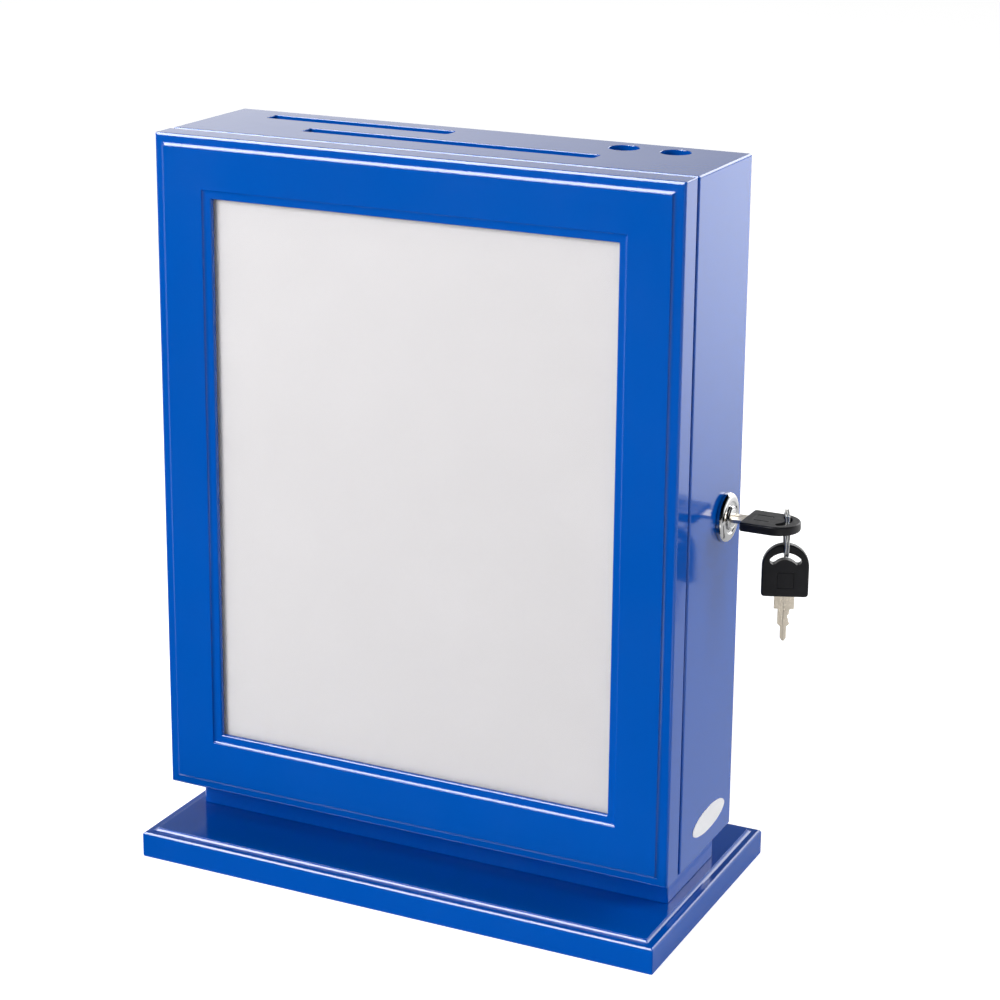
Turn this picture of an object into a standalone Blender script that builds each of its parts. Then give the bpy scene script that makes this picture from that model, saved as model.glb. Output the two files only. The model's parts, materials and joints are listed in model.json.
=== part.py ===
"""Suggestion box: a lacquered wooden box on a wide base, with a framed front door that shows a sheet.

The door turns on two butt hinges at the left and is held by a cam lock in the right side. A key
stands in the lock, and a spare key hangs from it on a split ring. Sizes are in metres, the origin
is the centre of the base's underside, +Z is up and the door faces -Y.
"""

import math

import bmesh
import bpy
from mathutils import Matrix, Vector

MM = 0.001

# Base board and plinth
BASE_BEYOND_BOX = 3 * MM
BASE_DEPTH = 140 * MM
BASE_THICKNESS = 14.2 * MM
PLINTH_END_INSET = 7 * MM
PLINTH_DEPTH = 57 * MM
PLINTH_HEIGHT = 17.4 * MM

# Box
BOX_WIDTH = 264 * MM
BOX_HEIGHT = 324 * MM
CARCASS_DEPTH = 64 * MM
PANEL_THICKNESS = 12 * MM
BACK_THICKNESS = 6 * MM
PANEL_EDGE_RADIUS = 1.0 * MM
GLUE_GAP = 0.2 * MM

# Moulded edge of the door and the base board
EDGE_RADIUS = 1.5 * MM
EDGE_LEDGE = 2.0 * MM
COVE_WIDTH = 2.0 * MM
COVE_DEPTH = 1.4 * MM
BACK_EDGE_RADIUS = 0.8 * MM

# Door and its window
DOOR_THICKNESS = 15 * MM
DOOR_GAP = 2.0 * MM
STILE_WIDTH = 30 * MM
RAIL_WIDTH = 29.5 * MM
WINDOW_RISE = 0.6 * MM
BAND_WIDTH = 4.4 * MM
LIP_RADIUS = 0.9 * MM
LIP_THICKNESS = 8 * MM
STILE_REBATE = 6.5 * MM
RAIL_REBATE = 7.75 * MM
SHEET_PLAY = 0.55 * MM
WINDOW_THICKNESS = 3.0 * MM
SHEET_THICKNESS = 0.4 * MM
BACKING_THICKNESS = 3.0 * MM
INSERT_GAP = 0.15 * MM

# Slots and pen holes in the top, as places of their centres
NOTE_SLOT_LENGTH = 148 * MM
NOTE_SLOT_WIDTH = 9 * MM
NOTE_SLOT_Y = -8.5 * MM
CARD_SLOT_LENGTH = 97 * MM
CARD_SLOT_WIDTH = 9 * MM
CARD_SLOT_FROM_END = 24.5 * MM
CARD_SLOT_Y = 16.5 * MM
PEN_HOLE_DIAMETER = 14 * MM
PEN_HOLE_Y = 17.5 * MM
PEN_HOLE_FROM_END = 31 * MM
PEN_HOLE_PITCH = 25 * MM
SLOT_CORNER = 1.5 * MM
SLOT_EASE = 0.8 * MM

# Card pocket and pen bay inside
POCKET_WALL = 3 * MM
POCKET_WALL_Y = 3 * MM
SHELF_THICKNESS = 6 * MM
CARD_SHELF_RISE = 38 * MM
PEN_SHELF_RISE = 68 * MM
DIVIDER_THICKNESS = 6 * MM

# Screws: head radius, head height, shank radius and length
BASE_SCREW_HEAD = 4.2 * MM
BASE_SCREW_HEAD_HEIGHT = 3.0 * MM
BASE_SCREW_SHANK = 2.0 * MM
BASE_SCREW_LENGTH = 41 * MM
BASE_SCREW_END_INSET = 35 * MM
BASE_SCREW_SIDE_INSET = 10.5 * MM
SMALL_SCREW_HEAD = 1.9 * MM
SMALL_SCREW_SHANK = 0.9 * MM
SMALL_SCREW_LENGTH = 9 * MM
PIVOT_SCREW_HEAD = 2.8 * MM
PIVOT_SCREW_HEAD_HEIGHT = 1.2 * MM
PIVOT_SCREW_SHANK = 1.2 * MM
PIVOT_SCREW_LENGTH = 8 * MM
SCREW_CLEARANCE = 0.15 * MM
PILOT_SPARE = 1.0 * MM

# Hinges
HINGE_LENGTH = 40 * MM
HINGE_INSET = 60 * MM
LEAF_THICKNESS = 0.75 * MM
LEAF_WIDTH = 11 * MM
LEAF_SEAT = 0.2 * MM
KNUCKLE_RADIUS = 2.2 * MM
HINGE_PIN_RADIUS = 1.0 * MM
HINGE_PIN_PLAY = 0.1 * MM
HINGE_AXIS_OUT = 2.5 * MM
KNUCKLE_GAP = 0.2 * MM
KNUCKLE_CLEARANCE = 0.35 * MM
KNUCKLE_INSET = 0.05 * MM
HINGE_PIN_HEAD = 1.7 * MM
HINGE_PIN_HEAD_HEIGHT = 0.5 * MM
LEAF_SCREW_INSET = 8 * MM

# Turn clips on the door's back
CLIP_RADIUS = 4.3 * MM
CLIP_LENGTH = 10 * MM
CLIP_THICKNESS = 1.2 * MM
CLIP_SEAT = 0.15 * MM
CLIP_FROM_EDGE = 5.7 * MM
RAIL_CLIP_FROM_EDGE = 4.9 * MM
STILE_CLIP_RISE = 75 * MM

# Cam lock in the right side
LOCK_Y = 11.4 * MM
LOCK_DROP = 2.2 * MM
LOCK_TURN = math.radians(0)
BARREL_RADIUS = 8.5 * MM
BARREL_END = 17.5 * MM
BARREL_CLEARANCE = 0.3 * MM
FLANGE_RADIUS = 11.5 * MM
FLANGE_SEAT = 0.15 * MM
FLANGE_HEIGHT = 3.2 * MM
FLANGE_RIM = 1.2 * MM
FLANGE_FACE_RADIUS = 9.0 * MM
FLANGE_DISH_RADIUS = 7.6 * MM
FLANGE_DISH = 0.5 * MM
PLUG_RADIUS = 5.6 * MM
PLUG_PLAY = 0.1 * MM
PLUG_PROUD = 0.9 * MM
PLUG_CHAMFER = 0.5 * MM
NUT_ACROSS_FLATS = 22 * MM
NUT_THICKNESS = 4 * MM
NUT_CLEARANCE = 0.15 * MM
TAIL_SIZE = 6 * MM
TAIL_LENGTH = 2.6 * MM
TAIL_CLEARANCE = 0.15 * MM
CAM_THICKNESS = 2.0 * MM
CAM_SEAT = 0.3 * MM
CAM_HUB_RADIUS = 8 * MM
CAM_HALF_WIDTH = 5 * MM
CAM_REACH = 42.5 * MM
CLAW_THICKNESS = 5 * MM
CLAW_RISE = 14 * MM
CAM_SCREW_HEAD = 4.2 * MM
CAM_SCREW_HEAD_HEIGHT = 1.4 * MM
CAM_SCREW_SHANK = 1.5 * MM
CAM_SCREW_LENGTH = 5 * MM

# Keeper on the door's back
KEEPER_THICKNESS = 1.5 * MM
KEEPER_HEIGHT = 34 * MM
KEEPER_WIDTH = 10.2 * MM
KEEPER_SEAT = 0.15 * MM
KEEPER_FROM_CAM = 1.5 * MM
EAR_RADIUS = 5 * MM
KEEPER_SCREW_PITCH = 24 * MM
KEEPER_PIN_ALONG = 33 * MM
KEEPER_PIN_ASIDE = 8.5 * MM
KEEPER_PIN_RADIUS = 2 * MM
KEEPER_PIN_HEAD = 3.2 * MM
KEEPER_PIN_HEAD_HEIGHT = 0.9 * MM
KEEPER_PIN_PROUD = 2.0 * MM
KEEPER_PIN_PLAY = 0.1 * MM

# Keys
BOW_WIDTH = 21.5 * MM
BOW_LENGTH = 25.3 * MM
BOW_THICKNESS = 4.2 * MM
BOW_CORNER = 1.5 * MM
BOW_EDGE = 0.5 * MM
BRIDGE_WIDTH = 4.0 * MM
BOW_SLOT_SPAN = 14.6 * MM
BOW_SLOT_WIDTH = 3.4 * MM
BOW_SLOT_ARC = 8 * MM
SHOULDER_LENGTH = 6.2 * MM
SHOULDER_WIDTH = 9.2 * MM
BLADE_LENGTH = 15.5 * MM
BLADE_WIDTH = 5.6 * MM
BLADE_THICKNESS = 1.6 * MM
BLADE_TIP = 2.4 * MM
TANG_LENGTH = 9 * MM
TANG_WIDTH = 7 * MM
TANG_CLEARANCE = 0.1 * MM
CUT_DEPTH = 1.3 * MM
KEYWAY_CLEARANCE = 0.2 * MM
KEYWAY_SPARE = 0.5 * MM
SHOULDER_SEAT = 0.2 * MM
KEY_TRAVEL = 22 * MM

# Split ring
RING_OUTER_RADIUS = 10.9 * MM
RING_WIRE_RADIAL = 1.5 * MM
RING_WIRE_AXIAL = 0.95 * MM
RING_PITCH = 1.15 * MM
RING_SEAT = 0.35 * MM
RING_SIDE_ROOM = 0.75 * MM
RING_SLOT_SHIFT = 0.36 * MM
RING_END_ANGLE = math.radians(24)

# Spare length of every cutter past the face that it cuts
OVERRUN = 1.0 * MM

# Depths of the cuts along one side of the blade, as shares of the deepest
CUT_SHARES = (0.35, 1.0, 0.6, 0.15, 0.8)

FINE_SEGMENTS = 48
ROUND_SEGMENTS = 24
SCREW_SEGMENTS = 12
ARC_STEPS = 8
SMALL_ARC_STEPS = 3
COVE_STEPS = 5
QUARTER = math.pi / 2

# Finishes: colour as written on screen, roughness and metallic value
BLUE_LACQUER = ((0, 84, 182), 0.28, 0.0)
INNER_LACQUER = ((0, 74, 165), 0.45, 0.0)
CLEAR_PLASTIC = ((224, 228, 230), 0.06, 0.0)
CARD = ((224, 221, 222), 0.8, 0.0)
BARE_BOARD = ((150, 118, 84), 0.75, 0.0)
BRIGHT_CHROME = ((214, 214, 212), 0.12, 1.0)
PLATED_STEEL = ((176, 176, 172), 0.3, 1.0)
NICKEL = ((198, 190, 176), 0.28, 1.0)
BLACK_PLASTIC = ((24, 24, 27), 0.42, 0.0)

# Places that follow from the sizes
BOX_LOW = BASE_THICKNESS + PLINTH_HEIGHT
BOX_HIGH = BOX_LOW + BOX_HEIGHT
BOX_MIDDLE = (BOX_LOW + BOX_HIGH) / 2
SIDE_X = BOX_WIDTH / 2
BASE_X = SIDE_X + BASE_BEYOND_BOX
PLINTH_X = SIDE_X - PLINTH_END_INSET
INNER_X = SIDE_X - PANEL_THICKNESS
INNER_LOW = BOX_LOW + PANEL_THICKNESS
INNER_HIGH = BOX_HIGH - PANEL_THICKNESS
CARCASS_FRONT = -CARCASS_DEPTH / 2
CARCASS_REAR = CARCASS_DEPTH / 2
DOOR_BACK = CARCASS_FRONT - DOOR_GAP
DOOR_FRONT = DOOR_BACK - DOOR_THICKNESS
WINDOW_MIDDLE = BOX_MIDDLE + WINDOW_RISE
WINDOW_HALF_WIDTH = BOX_WIDTH / 2 - STILE_WIDTH
WINDOW_HALF_HEIGHT = BOX_HEIGHT / 2 - RAIL_WIDTH
REBATE_HALF_WIDTH = WINDOW_HALF_WIDTH + STILE_REBATE
REBATE_HALF_HEIGHT = WINDOW_HALF_HEIGHT + RAIL_REBATE
CARD_SLOT_X = -SIDE_X + CARD_SLOT_FROM_END + CARD_SLOT_LENGTH / 2
LAST_PEN_HOLE_X = SIDE_X - PEN_HOLE_FROM_END
FIRST_PEN_HOLE_X = LAST_PEN_HOLE_X - PEN_HOLE_PITCH
DIVIDER_X = (CARD_SLOT_X + CARD_SLOT_LENGTH / 2 + FIRST_PEN_HOLE_X - PEN_HOLE_DIAMETER / 2) / 2
LOCK_HEIGHT = BOX_MIDDLE - LOCK_DROP
HINGE_AXIS = Vector((-SIDE_X - HINGE_AXIS_OUT, CARCASS_FRONT - DOOR_GAP / 2, BOX_MIDDLE))
LOCK_FACE = SIDE_X + FLANGE_SEAT
LOCK_AXIS = Vector((SIDE_X, LOCK_Y, LOCK_HEIGHT))
PLUG_FACE = LOCK_FACE + FLANGE_HEIGHT + PLUG_PROUD
BARREL_REAR = SIDE_X - BARREL_END
CAM_FRONT = BARREL_REAR - CAM_SEAT
CAM_REAR = CAM_FRONT - CAM_THICKNESS
TAIL_REAR = BARREL_REAR - TAIL_LENGTH
KEY_SEAT = PLUG_FACE + SHOULDER_SEAT
BOW_START = KEY_SEAT + SHOULDER_LENGTH


def linear(colour):
    """Scene-linear colour of three screen values from 0 to 255."""
    shares = [value / 255 for value in colour]
    return [s / 12.92 if s <= 0.04045 else ((s + 0.055) / 1.055) ** 2.4 for s in shares]


def material(name, finish):
    """A plain shader of a finish's colour, roughness and metallic value."""
    colour, roughness, metallic = finish
    made = bpy.data.materials.new(name)
    made.use_nodes = True
    shader = made.node_tree.nodes["Principled BSDF"]
    shader.inputs["Base Color"].default_value = (*linear(colour), 1)
    shader.inputs["Roughness"].default_value = roughness
    shader.inputs["Metallic"].default_value = metallic
    made.diffuse_color = (*linear(colour), 1)
    return made


def joint_empty(name, place, parent=None):
    """An empty on a joint's axis that carries what turns or slides there."""
    made = bpy.data.objects.new(name, None)
    bpy.context.scene.collection.objects.link(made)
    put(made, Vector(place), parent)
    return made


def put(thing, place, parent):
    """Places a thing in world coordinates, under a parent that is only moved and not turned."""
    thing.parent = parent
    thing.location = place - (world_place(parent) if parent else Vector())


def world_place(thing):
    """World place of an empty in a chain of parents that are only moved."""
    place = thing.location.copy()
    return place + world_place(thing.parent) if thing.parent else place


def solid(name, shape, finish, parent=None, angle=30):
    """An object of a shape in world coordinates, with its origin at its parent's or at the world's."""
    place = world_place(parent) if parent else Vector()
    bmesh.ops.translate(shape, verts=shape.verts, vec=-place)
    mesh = bpy.data.meshes.new(name)
    shape.to_mesh(mesh)
    shape.free()
    mesh.shade_smooth()
    mesh.set_sharp_from_angle(angle=math.radians(angle))
    made = bpy.data.objects.new(name, mesh)
    bpy.context.scene.collection.objects.link(made)
    if finish:
        mesh.materials.append(material(name, finish))
    put(made, place, parent)
    return made


def cutter(name, shape, parent=None):
    """A hidden helper that cuts other pieces."""
    made = solid(name, shape, None, parent)
    made.hide_render = True
    made.display_type = "WIRE"
    return made


def combine(target, other, operation="DIFFERENCE"):
    """Adds a Boolean with the exact solver."""
    step = target.modifiers.new(other.name, "BOOLEAN")
    step.operation = operation
    step.solver = "EXACT"
    step.object = other


def loft(loops, ring=False):
    """A closed solid through loops of equal length. Its ends are capped, or meet each other in a ring."""
    shape = bmesh.new()
    rows = [[shape.verts.new(point) for point in loop] for loop in loops]
    pairs = list(zip(rows, rows[1:]))
    if ring:
        pairs.append((rows[-1], rows[0]))
    else:
        shape.faces.new(rows[0])
        shape.faces.new(rows[-1])
    for low, high in pairs:
        for i in range(len(low)):
            j = (i + 1) % len(low)
            shape.faces.new((low[i], low[j], high[j], high[i]))
    bmesh.ops.recalc_face_normals(shape, faces=shape.faces)
    return shape


def lathe(profile, segments, ring=False):
    """Turns (radius, height) points about Z. An open profile starts and ends on the axis."""
    shape = bmesh.new()
    rows = []
    for radius, height in profile:
        count = 1 if radius == 0 else segments
        turns = [math.tau * i / segments for i in range(count)]
        rows.append([shape.verts.new((radius * math.cos(a), radius * math.sin(a), height)) for a in turns])
    pairs = list(zip(rows, rows[1:]))
    if ring:
        pairs.append((rows[-1], rows[0]))
    for low, high in pairs:
        for i in range(segments):
            j = (i + 1) % segments
            corners = [low[i % len(low)], low[j % len(low)], high[j % len(high)], high[i % len(high)]]
            shape.faces.new(list(dict.fromkeys(corners)))
    bmesh.ops.recalc_face_normals(shape, faces=shape.faces)
    return shape


def moved(shape, matrix):
    """The shape, carried by a matrix."""
    bmesh.ops.transform(shape, matrix=matrix, verts=shape.verts)
    return shape


def box(low, high):
    """A block between two corners."""
    x0, y0, z0 = low
    x1, y1, z1 = high
    return loft([[(x0, y0, z), (x1, y0, z), (x1, y1, z), (x0, y1, z)] for z in (z0, z1)])


def eased_box(low, high, radius, rounded):
    """A block whose edges that pass the test of their middle and direction are rounded."""
    shape = box(low, high)
    edges = []
    for edge in shape.edges:
        a, b = (v.co for v in edge.verts)
        if rounded((a + b) / 2, (b - a).normalized()):
            edges.append(edge)
    bmesh.ops.bevel(
        shape, geom=edges, offset=radius, segments=SMALL_ARC_STEPS, profile=0.5, affect="EDGES"
    )
    return shape


def arc(centre, radius, start, end, steps):
    """Points of an arc in a plane, from one angle to another, both ends among them."""
    cx, cy = centre
    angles = [start + (end - start) * i / steps for i in range(steps + 1)]
    return [(cx + radius * math.cos(a), cy + radius * math.sin(a)) for a in angles]


def plate(outline, thickness):
    """An outline in the XY plane, extruded up from z = 0."""
    return loft([[(x, y, z) for x, y in outline] for z in (0, thickness)])


def along_x(place, turn=0.0):
    """Carries local Z to world X, local X to world -Z and local Y to world Y, turned about the X axis."""
    basis = Matrix(((0, 0, 1), (0, 1, 0), (-1, 0, 0))).to_4x4()
    return Matrix.Translation(place) @ Matrix.Rotation(turn, 4, "X") @ basis


def along_y(place):
    """Carries local Z to world Y, local X to world X and local Y to world -Z."""
    basis = Matrix(((1, 0, 0), (0, 0, 1), (0, -1, 0))).to_4x4()
    return Matrix.Translation(place) @ basis


def moulded_edge():
    """The routed edge as (inset from the side, depth below the face) points, from side to face."""
    low = EDGE_RADIUS + COVE_DEPTH
    round_off = arc((0, 0), EDGE_RADIUS, 0, QUARTER, COVE_STEPS)
    points = [(EDGE_RADIUS - dx, low - dy) for dx, dy in round_off]
    ledge = EDGE_RADIUS + EDGE_LEDGE
    return points + [(ledge + along, COVE_DEPTH - rise) for along, rise in cove()]


def cove():
    """The hollow between a ledge and the face above it, as (along the ledge, rise) points from the ledge up."""
    quarter = arc((0, 0), 1, -QUARTER, 0, COVE_STEPS)
    return [(COVE_WIDTH * along, COVE_DEPTH * (1 + up)) for along, up in quarter]


# Base and carcass


def base_board():
    """The base: one board with the routed edge round its top."""

    def loop(inset, z):
        x, y = BASE_X - inset, BASE_DEPTH / 2 - inset
        return [(-x, -y, z), (x, -y, z), (x, y, z), (-x, y, z)]

    loops = [loop(BACK_EDGE_RADIUS, 0), loop(0, BACK_EDGE_RADIUS)]
    loops += [loop(inset, BASE_THICKNESS - depth) for inset, depth in moulded_edge()]
    return solid("base_board", loft(loops), BLUE_LACQUER)


def plinth():
    """The narrow block between the base and the box."""
    x, y = PLINTH_X, PLINTH_DEPTH / 2
    low = (-x, -y, BASE_THICKNESS + GLUE_GAP)
    high = (x, y, BOX_LOW - GLUE_GAP)
    shape = eased_box(low, high, PANEL_EDGE_RADIUS, lambda middle, way: abs(way.z) > 0.9)
    return solid("plinth", shape, BLUE_LACQUER)


def slot_loop(centre, length, width, radius, z):
    """A rectangle with round corners, long in X, at height z."""
    cx, cy = centre
    x, y = length / 2 - radius, width / 2 - radius
    points = []
    for i, (side, way) in enumerate(((1, 1), (-1, 1), (-1, -1), (1, -1))):
        corner = (cx + side * x, cy + way * y)
        points += arc(corner, radius, i * QUARTER, (i + 1) * QUARTER, SMALL_ARC_STEPS)
    return [(x, y, z) for x, y in points]


def slot_cutter(name, centre, length, width):
    """Cuts a slot through the top panel and eases its upper edge."""
    levels = [(0, INNER_HIGH - OVERRUN)]
    for inset, rise in arc((0, 0), SLOT_EASE, 0, QUARTER, SMALL_ARC_STEPS):
        levels.append((SLOT_EASE - inset, BOX_HIGH - SLOT_EASE + rise))
    levels.append((SLOT_EASE, BOX_HIGH + OVERRUN))
    loops = []
    for grow, z in levels:
        loops.append(slot_loop(centre, length + 2 * grow, width + 2 * grow, SLOT_CORNER + grow, z))
    return cutter(name, loft(loops))


def pen_hole_cutter(name, centre):
    """Cuts a pen hole through the top panel and eases its upper edge."""
    radius = PEN_HOLE_DIAMETER / 2
    profile = [(0, INNER_HIGH - OVERRUN), (radius, INNER_HIGH - OVERRUN)]
    for inset, rise in arc((0, 0), SLOT_EASE, 0, QUARTER, SMALL_ARC_STEPS):
        profile.append((radius + SLOT_EASE - inset, BOX_HIGH - SLOT_EASE + rise))
    profile += [(radius + SLOT_EASE, BOX_HIGH + OVERRUN), (0, BOX_HIGH + OVERRUN)]
    shape = moved(lathe(profile, ROUND_SEGMENTS), Matrix.Translation((*centre, 0)))
    return cutter(name, shape)


def top_panel():
    """The top, over the sides, with two slots and two pen holes."""

    def rounded(middle, way):
        return abs(way.z) > 0.9 or middle.z > (INNER_HIGH + BOX_HIGH) / 2

    low = (-SIDE_X, CARCASS_FRONT, INNER_HIGH)
    high = (SIDE_X, CARCASS_REAR, BOX_HIGH)
    top = solid("top_panel", eased_box(low, high, PANEL_EDGE_RADIUS, rounded), BLUE_LACQUER)
    combine(top, slot_cutter("note_slot_cutter", (0, NOTE_SLOT_Y), NOTE_SLOT_LENGTH, NOTE_SLOT_WIDTH))
    place = (CARD_SLOT_X, CARD_SLOT_Y)
    combine(top, slot_cutter("card_slot_cutter", place, CARD_SLOT_LENGTH, CARD_SLOT_WIDTH))
    for i in range(2):
        place = (FIRST_PEN_HOLE_X + i * PEN_HOLE_PITCH, PEN_HOLE_Y)
        combine(top, pen_hole_cutter(f"pen_hole_cutter_{i + 1}", place))
    return top


def bottom_panel():
    """The bottom of the box, on the plinth."""

    def rounded(middle, way):
        return abs(way.z) > 0.9 or middle.z < (BOX_LOW + INNER_LOW) / 2

    low = (-SIDE_X, CARCASS_FRONT, BOX_LOW)
    high = (SIDE_X, CARCASS_REAR, INNER_LOW)
    return solid("bottom_panel", eased_box(low, high, PANEL_EDGE_RADIUS, rounded), BLUE_LACQUER)


def side_panel(name, side):
    """A side of the box, between top and bottom."""

    def rounded(middle, way):
        return abs(way.z) > 0.9 and abs(middle.x) > (INNER_X + SIDE_X) / 2

    xs = sorted((side * INNER_X, side * SIDE_X))
    low = (xs[0], CARCASS_FRONT, INNER_LOW + GLUE_GAP)
    high = (xs[1], CARCASS_REAR, INNER_HIGH - GLUE_GAP)
    return solid(name, eased_box(low, high, PANEL_EDGE_RADIUS, rounded), BLUE_LACQUER)


def lock_hole_cutter():
    """Cuts the lock's round hole through the right side."""
    radius = BARREL_RADIUS + BARREL_CLEARANCE
    depth = PANEL_THICKNESS + 2 * OVERRUN
    profile = [(0, 0), (radius, 0), (radius, depth), (0, depth)]
    place = Vector((INNER_X - OVERRUN, LOCK_Y, LOCK_HEIGHT))
    return cutter("lock_hole_cutter", moved(lathe(profile, ROUND_SEGMENTS), along_x(place)))


def inner_board(name, low, high, finish=INNER_LACQUER):
    """A plain board glued inside the box."""
    return solid(name, box(low, high), finish)


def carcass_inside():
    """Back panel, and the card pocket and pen bay behind the front wall under the top."""
    x = INNER_X - GLUE_GAP
    top = INNER_HIGH - GLUE_GAP
    back_y = CARCASS_REAR - BACK_THICKNESS
    inner_board("back_panel", (-x, back_y, INNER_LOW + GLUE_GAP), (x, CARCASS_REAR, top), BLUE_LACQUER)
    wall_back = POCKET_WALL_Y + POCKET_WALL
    card_floor = BOX_MIDDLE + CARD_SHELF_RISE
    pen_floor = BOX_MIDDLE + PEN_SHELF_RISE
    inner_board("pocket_front", (-x, POCKET_WALL_Y, card_floor - SHELF_THICKNESS), (x, wall_back, top))
    near, far = wall_back + GLUE_GAP, back_y - GLUE_GAP
    left, right = DIVIDER_X - DIVIDER_THICKNESS / 2, DIVIDER_X + DIVIDER_THICKNESS / 2
    inner_board(
        "card_shelf", (-x, near, card_floor - SHELF_THICKNESS), (left - GLUE_GAP, far, card_floor)
    )
    inner_board(
        "pen_shelf", (right + GLUE_GAP, near, pen_floor - SHELF_THICKNESS), (x, far, pen_floor)
    )
    inner_board("pocket_divider", (left, near, card_floor - SHELF_THICKNESS), (right, far, top))


# Screws and their holes


def sunk_screw_profile(head, head_height, shank, length, grow=0.0, below=0.0, above=0.0):
    """A countersunk screw, head up at z = 0 and shank down, or with spare sizes its hole."""
    cone = [(head + grow, 0), (shank + grow, -head_height - grow)]
    top = [(0, above), (head + grow, above)] if above else [(0, 0)]
    return top + cone + [(shank + grow, -length - below), (0, -length - below)]


def sunk_screw(name, sizes, matrix, parent, segments=SCREW_SEGMENTS):
    """A countersunk screw whose head lies flush at the matrix's place, facing its Z."""
    shape = moved(lathe(sunk_screw_profile(*sizes), segments), matrix)
    return solid(name, shape, PLATED_STEEL, parent)


def sunk_hole(name, sizes, matrix, parent=None, segments=SCREW_SEGMENTS):
    """The hole of a countersunk screw, wider by the clearance and deeper by the spare."""
    profile = sunk_screw_profile(*sizes, grow=SCREW_CLEARANCE, below=PILOT_SPARE, above=OVERRUN)
    return cutter(name, moved(lathe(profile, segments), matrix), parent)


def base_screws(pieces):
    """Four screws from below that hold base, plinth and box together."""
    sizes = (BASE_SCREW_HEAD, BASE_SCREW_HEAD_HEIGHT, BASE_SCREW_SHANK, BASE_SCREW_LENGTH)
    x = PLINTH_X - BASE_SCREW_END_INSET
    y = PLINTH_DEPTH / 2 - BASE_SCREW_SIDE_INSET
    places = [(x * i, y * j) for i in (-1, 1) for j in (-1, 1)]
    flip = Matrix.Rotation(math.pi, 4, "X")
    for i, (x, y) in enumerate(places):
        matrix = Matrix.Translation((x, y, SCREW_CLEARANCE)) @ flip
        sunk_screw(f"base_screw_{i + 1}", sizes, matrix, None)
        hole = sunk_hole(f"base_screw_hole_{i + 1}", sizes, matrix)
        for piece in pieces:
            combine(piece, hole)


# Hinges


def leaf_outline(spans):
    """A hinge leaf's plate in the XZ plane about the hinge's middle, with a tab for each knuckle."""
    x_far = -SIDE_X + LEAF_WIDTH
    x_edge = HINGE_AXIS.x + KNUCKLE_RADIUS + KNUCKLE_CLEARANCE
    x_tab = HINGE_AXIS.x + HINGE_PIN_RADIUS + HINGE_PIN_PLAY + KNUCKLE_GAP
    half = HINGE_LENGTH / 2
    points = [(x_far, -half), (x_far, half), (x_edge, half)]
    for z0, z1 in reversed(spans):
        points += [(x_edge, z1), (x_tab, z1), (x_tab, z0), (x_edge, z0)]
    points.append((x_edge, -half))
    return list(dict.fromkeys(points))


def leaf_solid(name, front, spans, parent):
    """A hinge leaf: its plate from y = front inwards and its bored knuckles."""
    z = name_height(name)
    outline = leaf_outline(spans)
    depths = (front, front + LEAF_THICKNESS)
    shape = loft([[(x, y, z + rise) for x, rise in outline] for y in depths])
    leaf = solid(name, shape, PLATED_STEEL, parent)
    place = Matrix.Translation((HINGE_AXIS.x, HINGE_AXIS.y, z))
    bore = HINGE_PIN_RADIUS + HINGE_PIN_PLAY
    for i, (z0, z1) in enumerate(spans):
        low, high = z0 + KNUCKLE_INSET, z1 - KNUCKLE_INSET
        profile = [(bore, low), (KNUCKLE_RADIUS, low), (KNUCKLE_RADIUS, high), (bore, high)]
        shape = moved(lathe(profile, ROUND_SEGMENTS, ring=True), place)
        combine(leaf, cutter(f"{name}_knuckle_{i + 1}", shape, parent), "UNION")
    return leaf


def name_height(name):
    """Height of a hinge's middle: the upper or the lower one, by its name."""
    return BOX_HIGH - HINGE_INSET if "upper" in name else BOX_LOW + HINGE_INSET


def hinge(which, door, carcass_side, door_frame):
    """One butt hinge: a leaf on the side's front edge, a leaf on the door's back and their pin."""
    half = HINGE_LENGTH / 2
    third = HINGE_LENGTH / 6
    middle = [(-third, third)]
    ends = [(-half, -third - KNUCKLE_GAP), (third + KNUCKLE_GAP, half)]
    front = CARCASS_FRONT - LEAF_SEAT - LEAF_THICKNESS
    carcass_leaf = leaf_solid(f"{which}_hinge_box_leaf", front, ends, None)
    door_leaf = leaf_solid(f"{which}_hinge_door_leaf", DOOR_BACK + LEAF_SEAT, middle, door)
    z = name_height(which)
    head = half + KNUCKLE_GAP
    profile = [(0, -head - HINGE_PIN_HEAD_HEIGHT), (HINGE_PIN_HEAD, -head - HINGE_PIN_HEAD_HEIGHT)]
    profile += [(HINGE_PIN_HEAD, -head), (HINGE_PIN_RADIUS, -head)]
    profile += [(radius, -height) for radius, height in reversed(profile)]
    shape = moved(lathe(profile, ROUND_SEGMENTS), Matrix.Translation((HINGE_AXIS.x, HINGE_AXIS.y, z)))
    solid(f"{which}_hinge_pin", shape, PLATED_STEEL)

    sizes = (SMALL_SCREW_HEAD, LEAF_THICKNESS, SMALL_SCREW_SHANK, SMALL_SCREW_LENGTH)
    x = -INNER_X - PANEL_THICKNESS / 2
    for i, rise in enumerate((-half + LEAF_SCREW_INSET, half - LEAF_SCREW_INSET)):
        out = along_y(Vector((x, CARCASS_FRONT - LEAF_SEAT - LEAF_THICKNESS, z + rise)))
        out = out @ Matrix.Rotation(math.pi, 4, "X")
        sunk_screw(f"{which}_box_leaf_screw_{i + 1}", sizes, out, None)
        hole = sunk_hole(f"{which}_box_leaf_hole_{i + 1}", sizes, out)
        combine(carcass_leaf, hole)
        combine(carcass_side, hole)
        back = along_y(Vector((x, DOOR_BACK + LEAF_SEAT + LEAF_THICKNESS, z + rise)))
        sunk_screw(f"{which}_door_leaf_screw_{i + 1}", sizes, back, door)
        hole = sunk_hole(f"{which}_door_leaf_hole_{i + 1}", sizes, back, door)
        combine(door_leaf, hole)
        combine(door_frame, hole)


# Door


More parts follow.
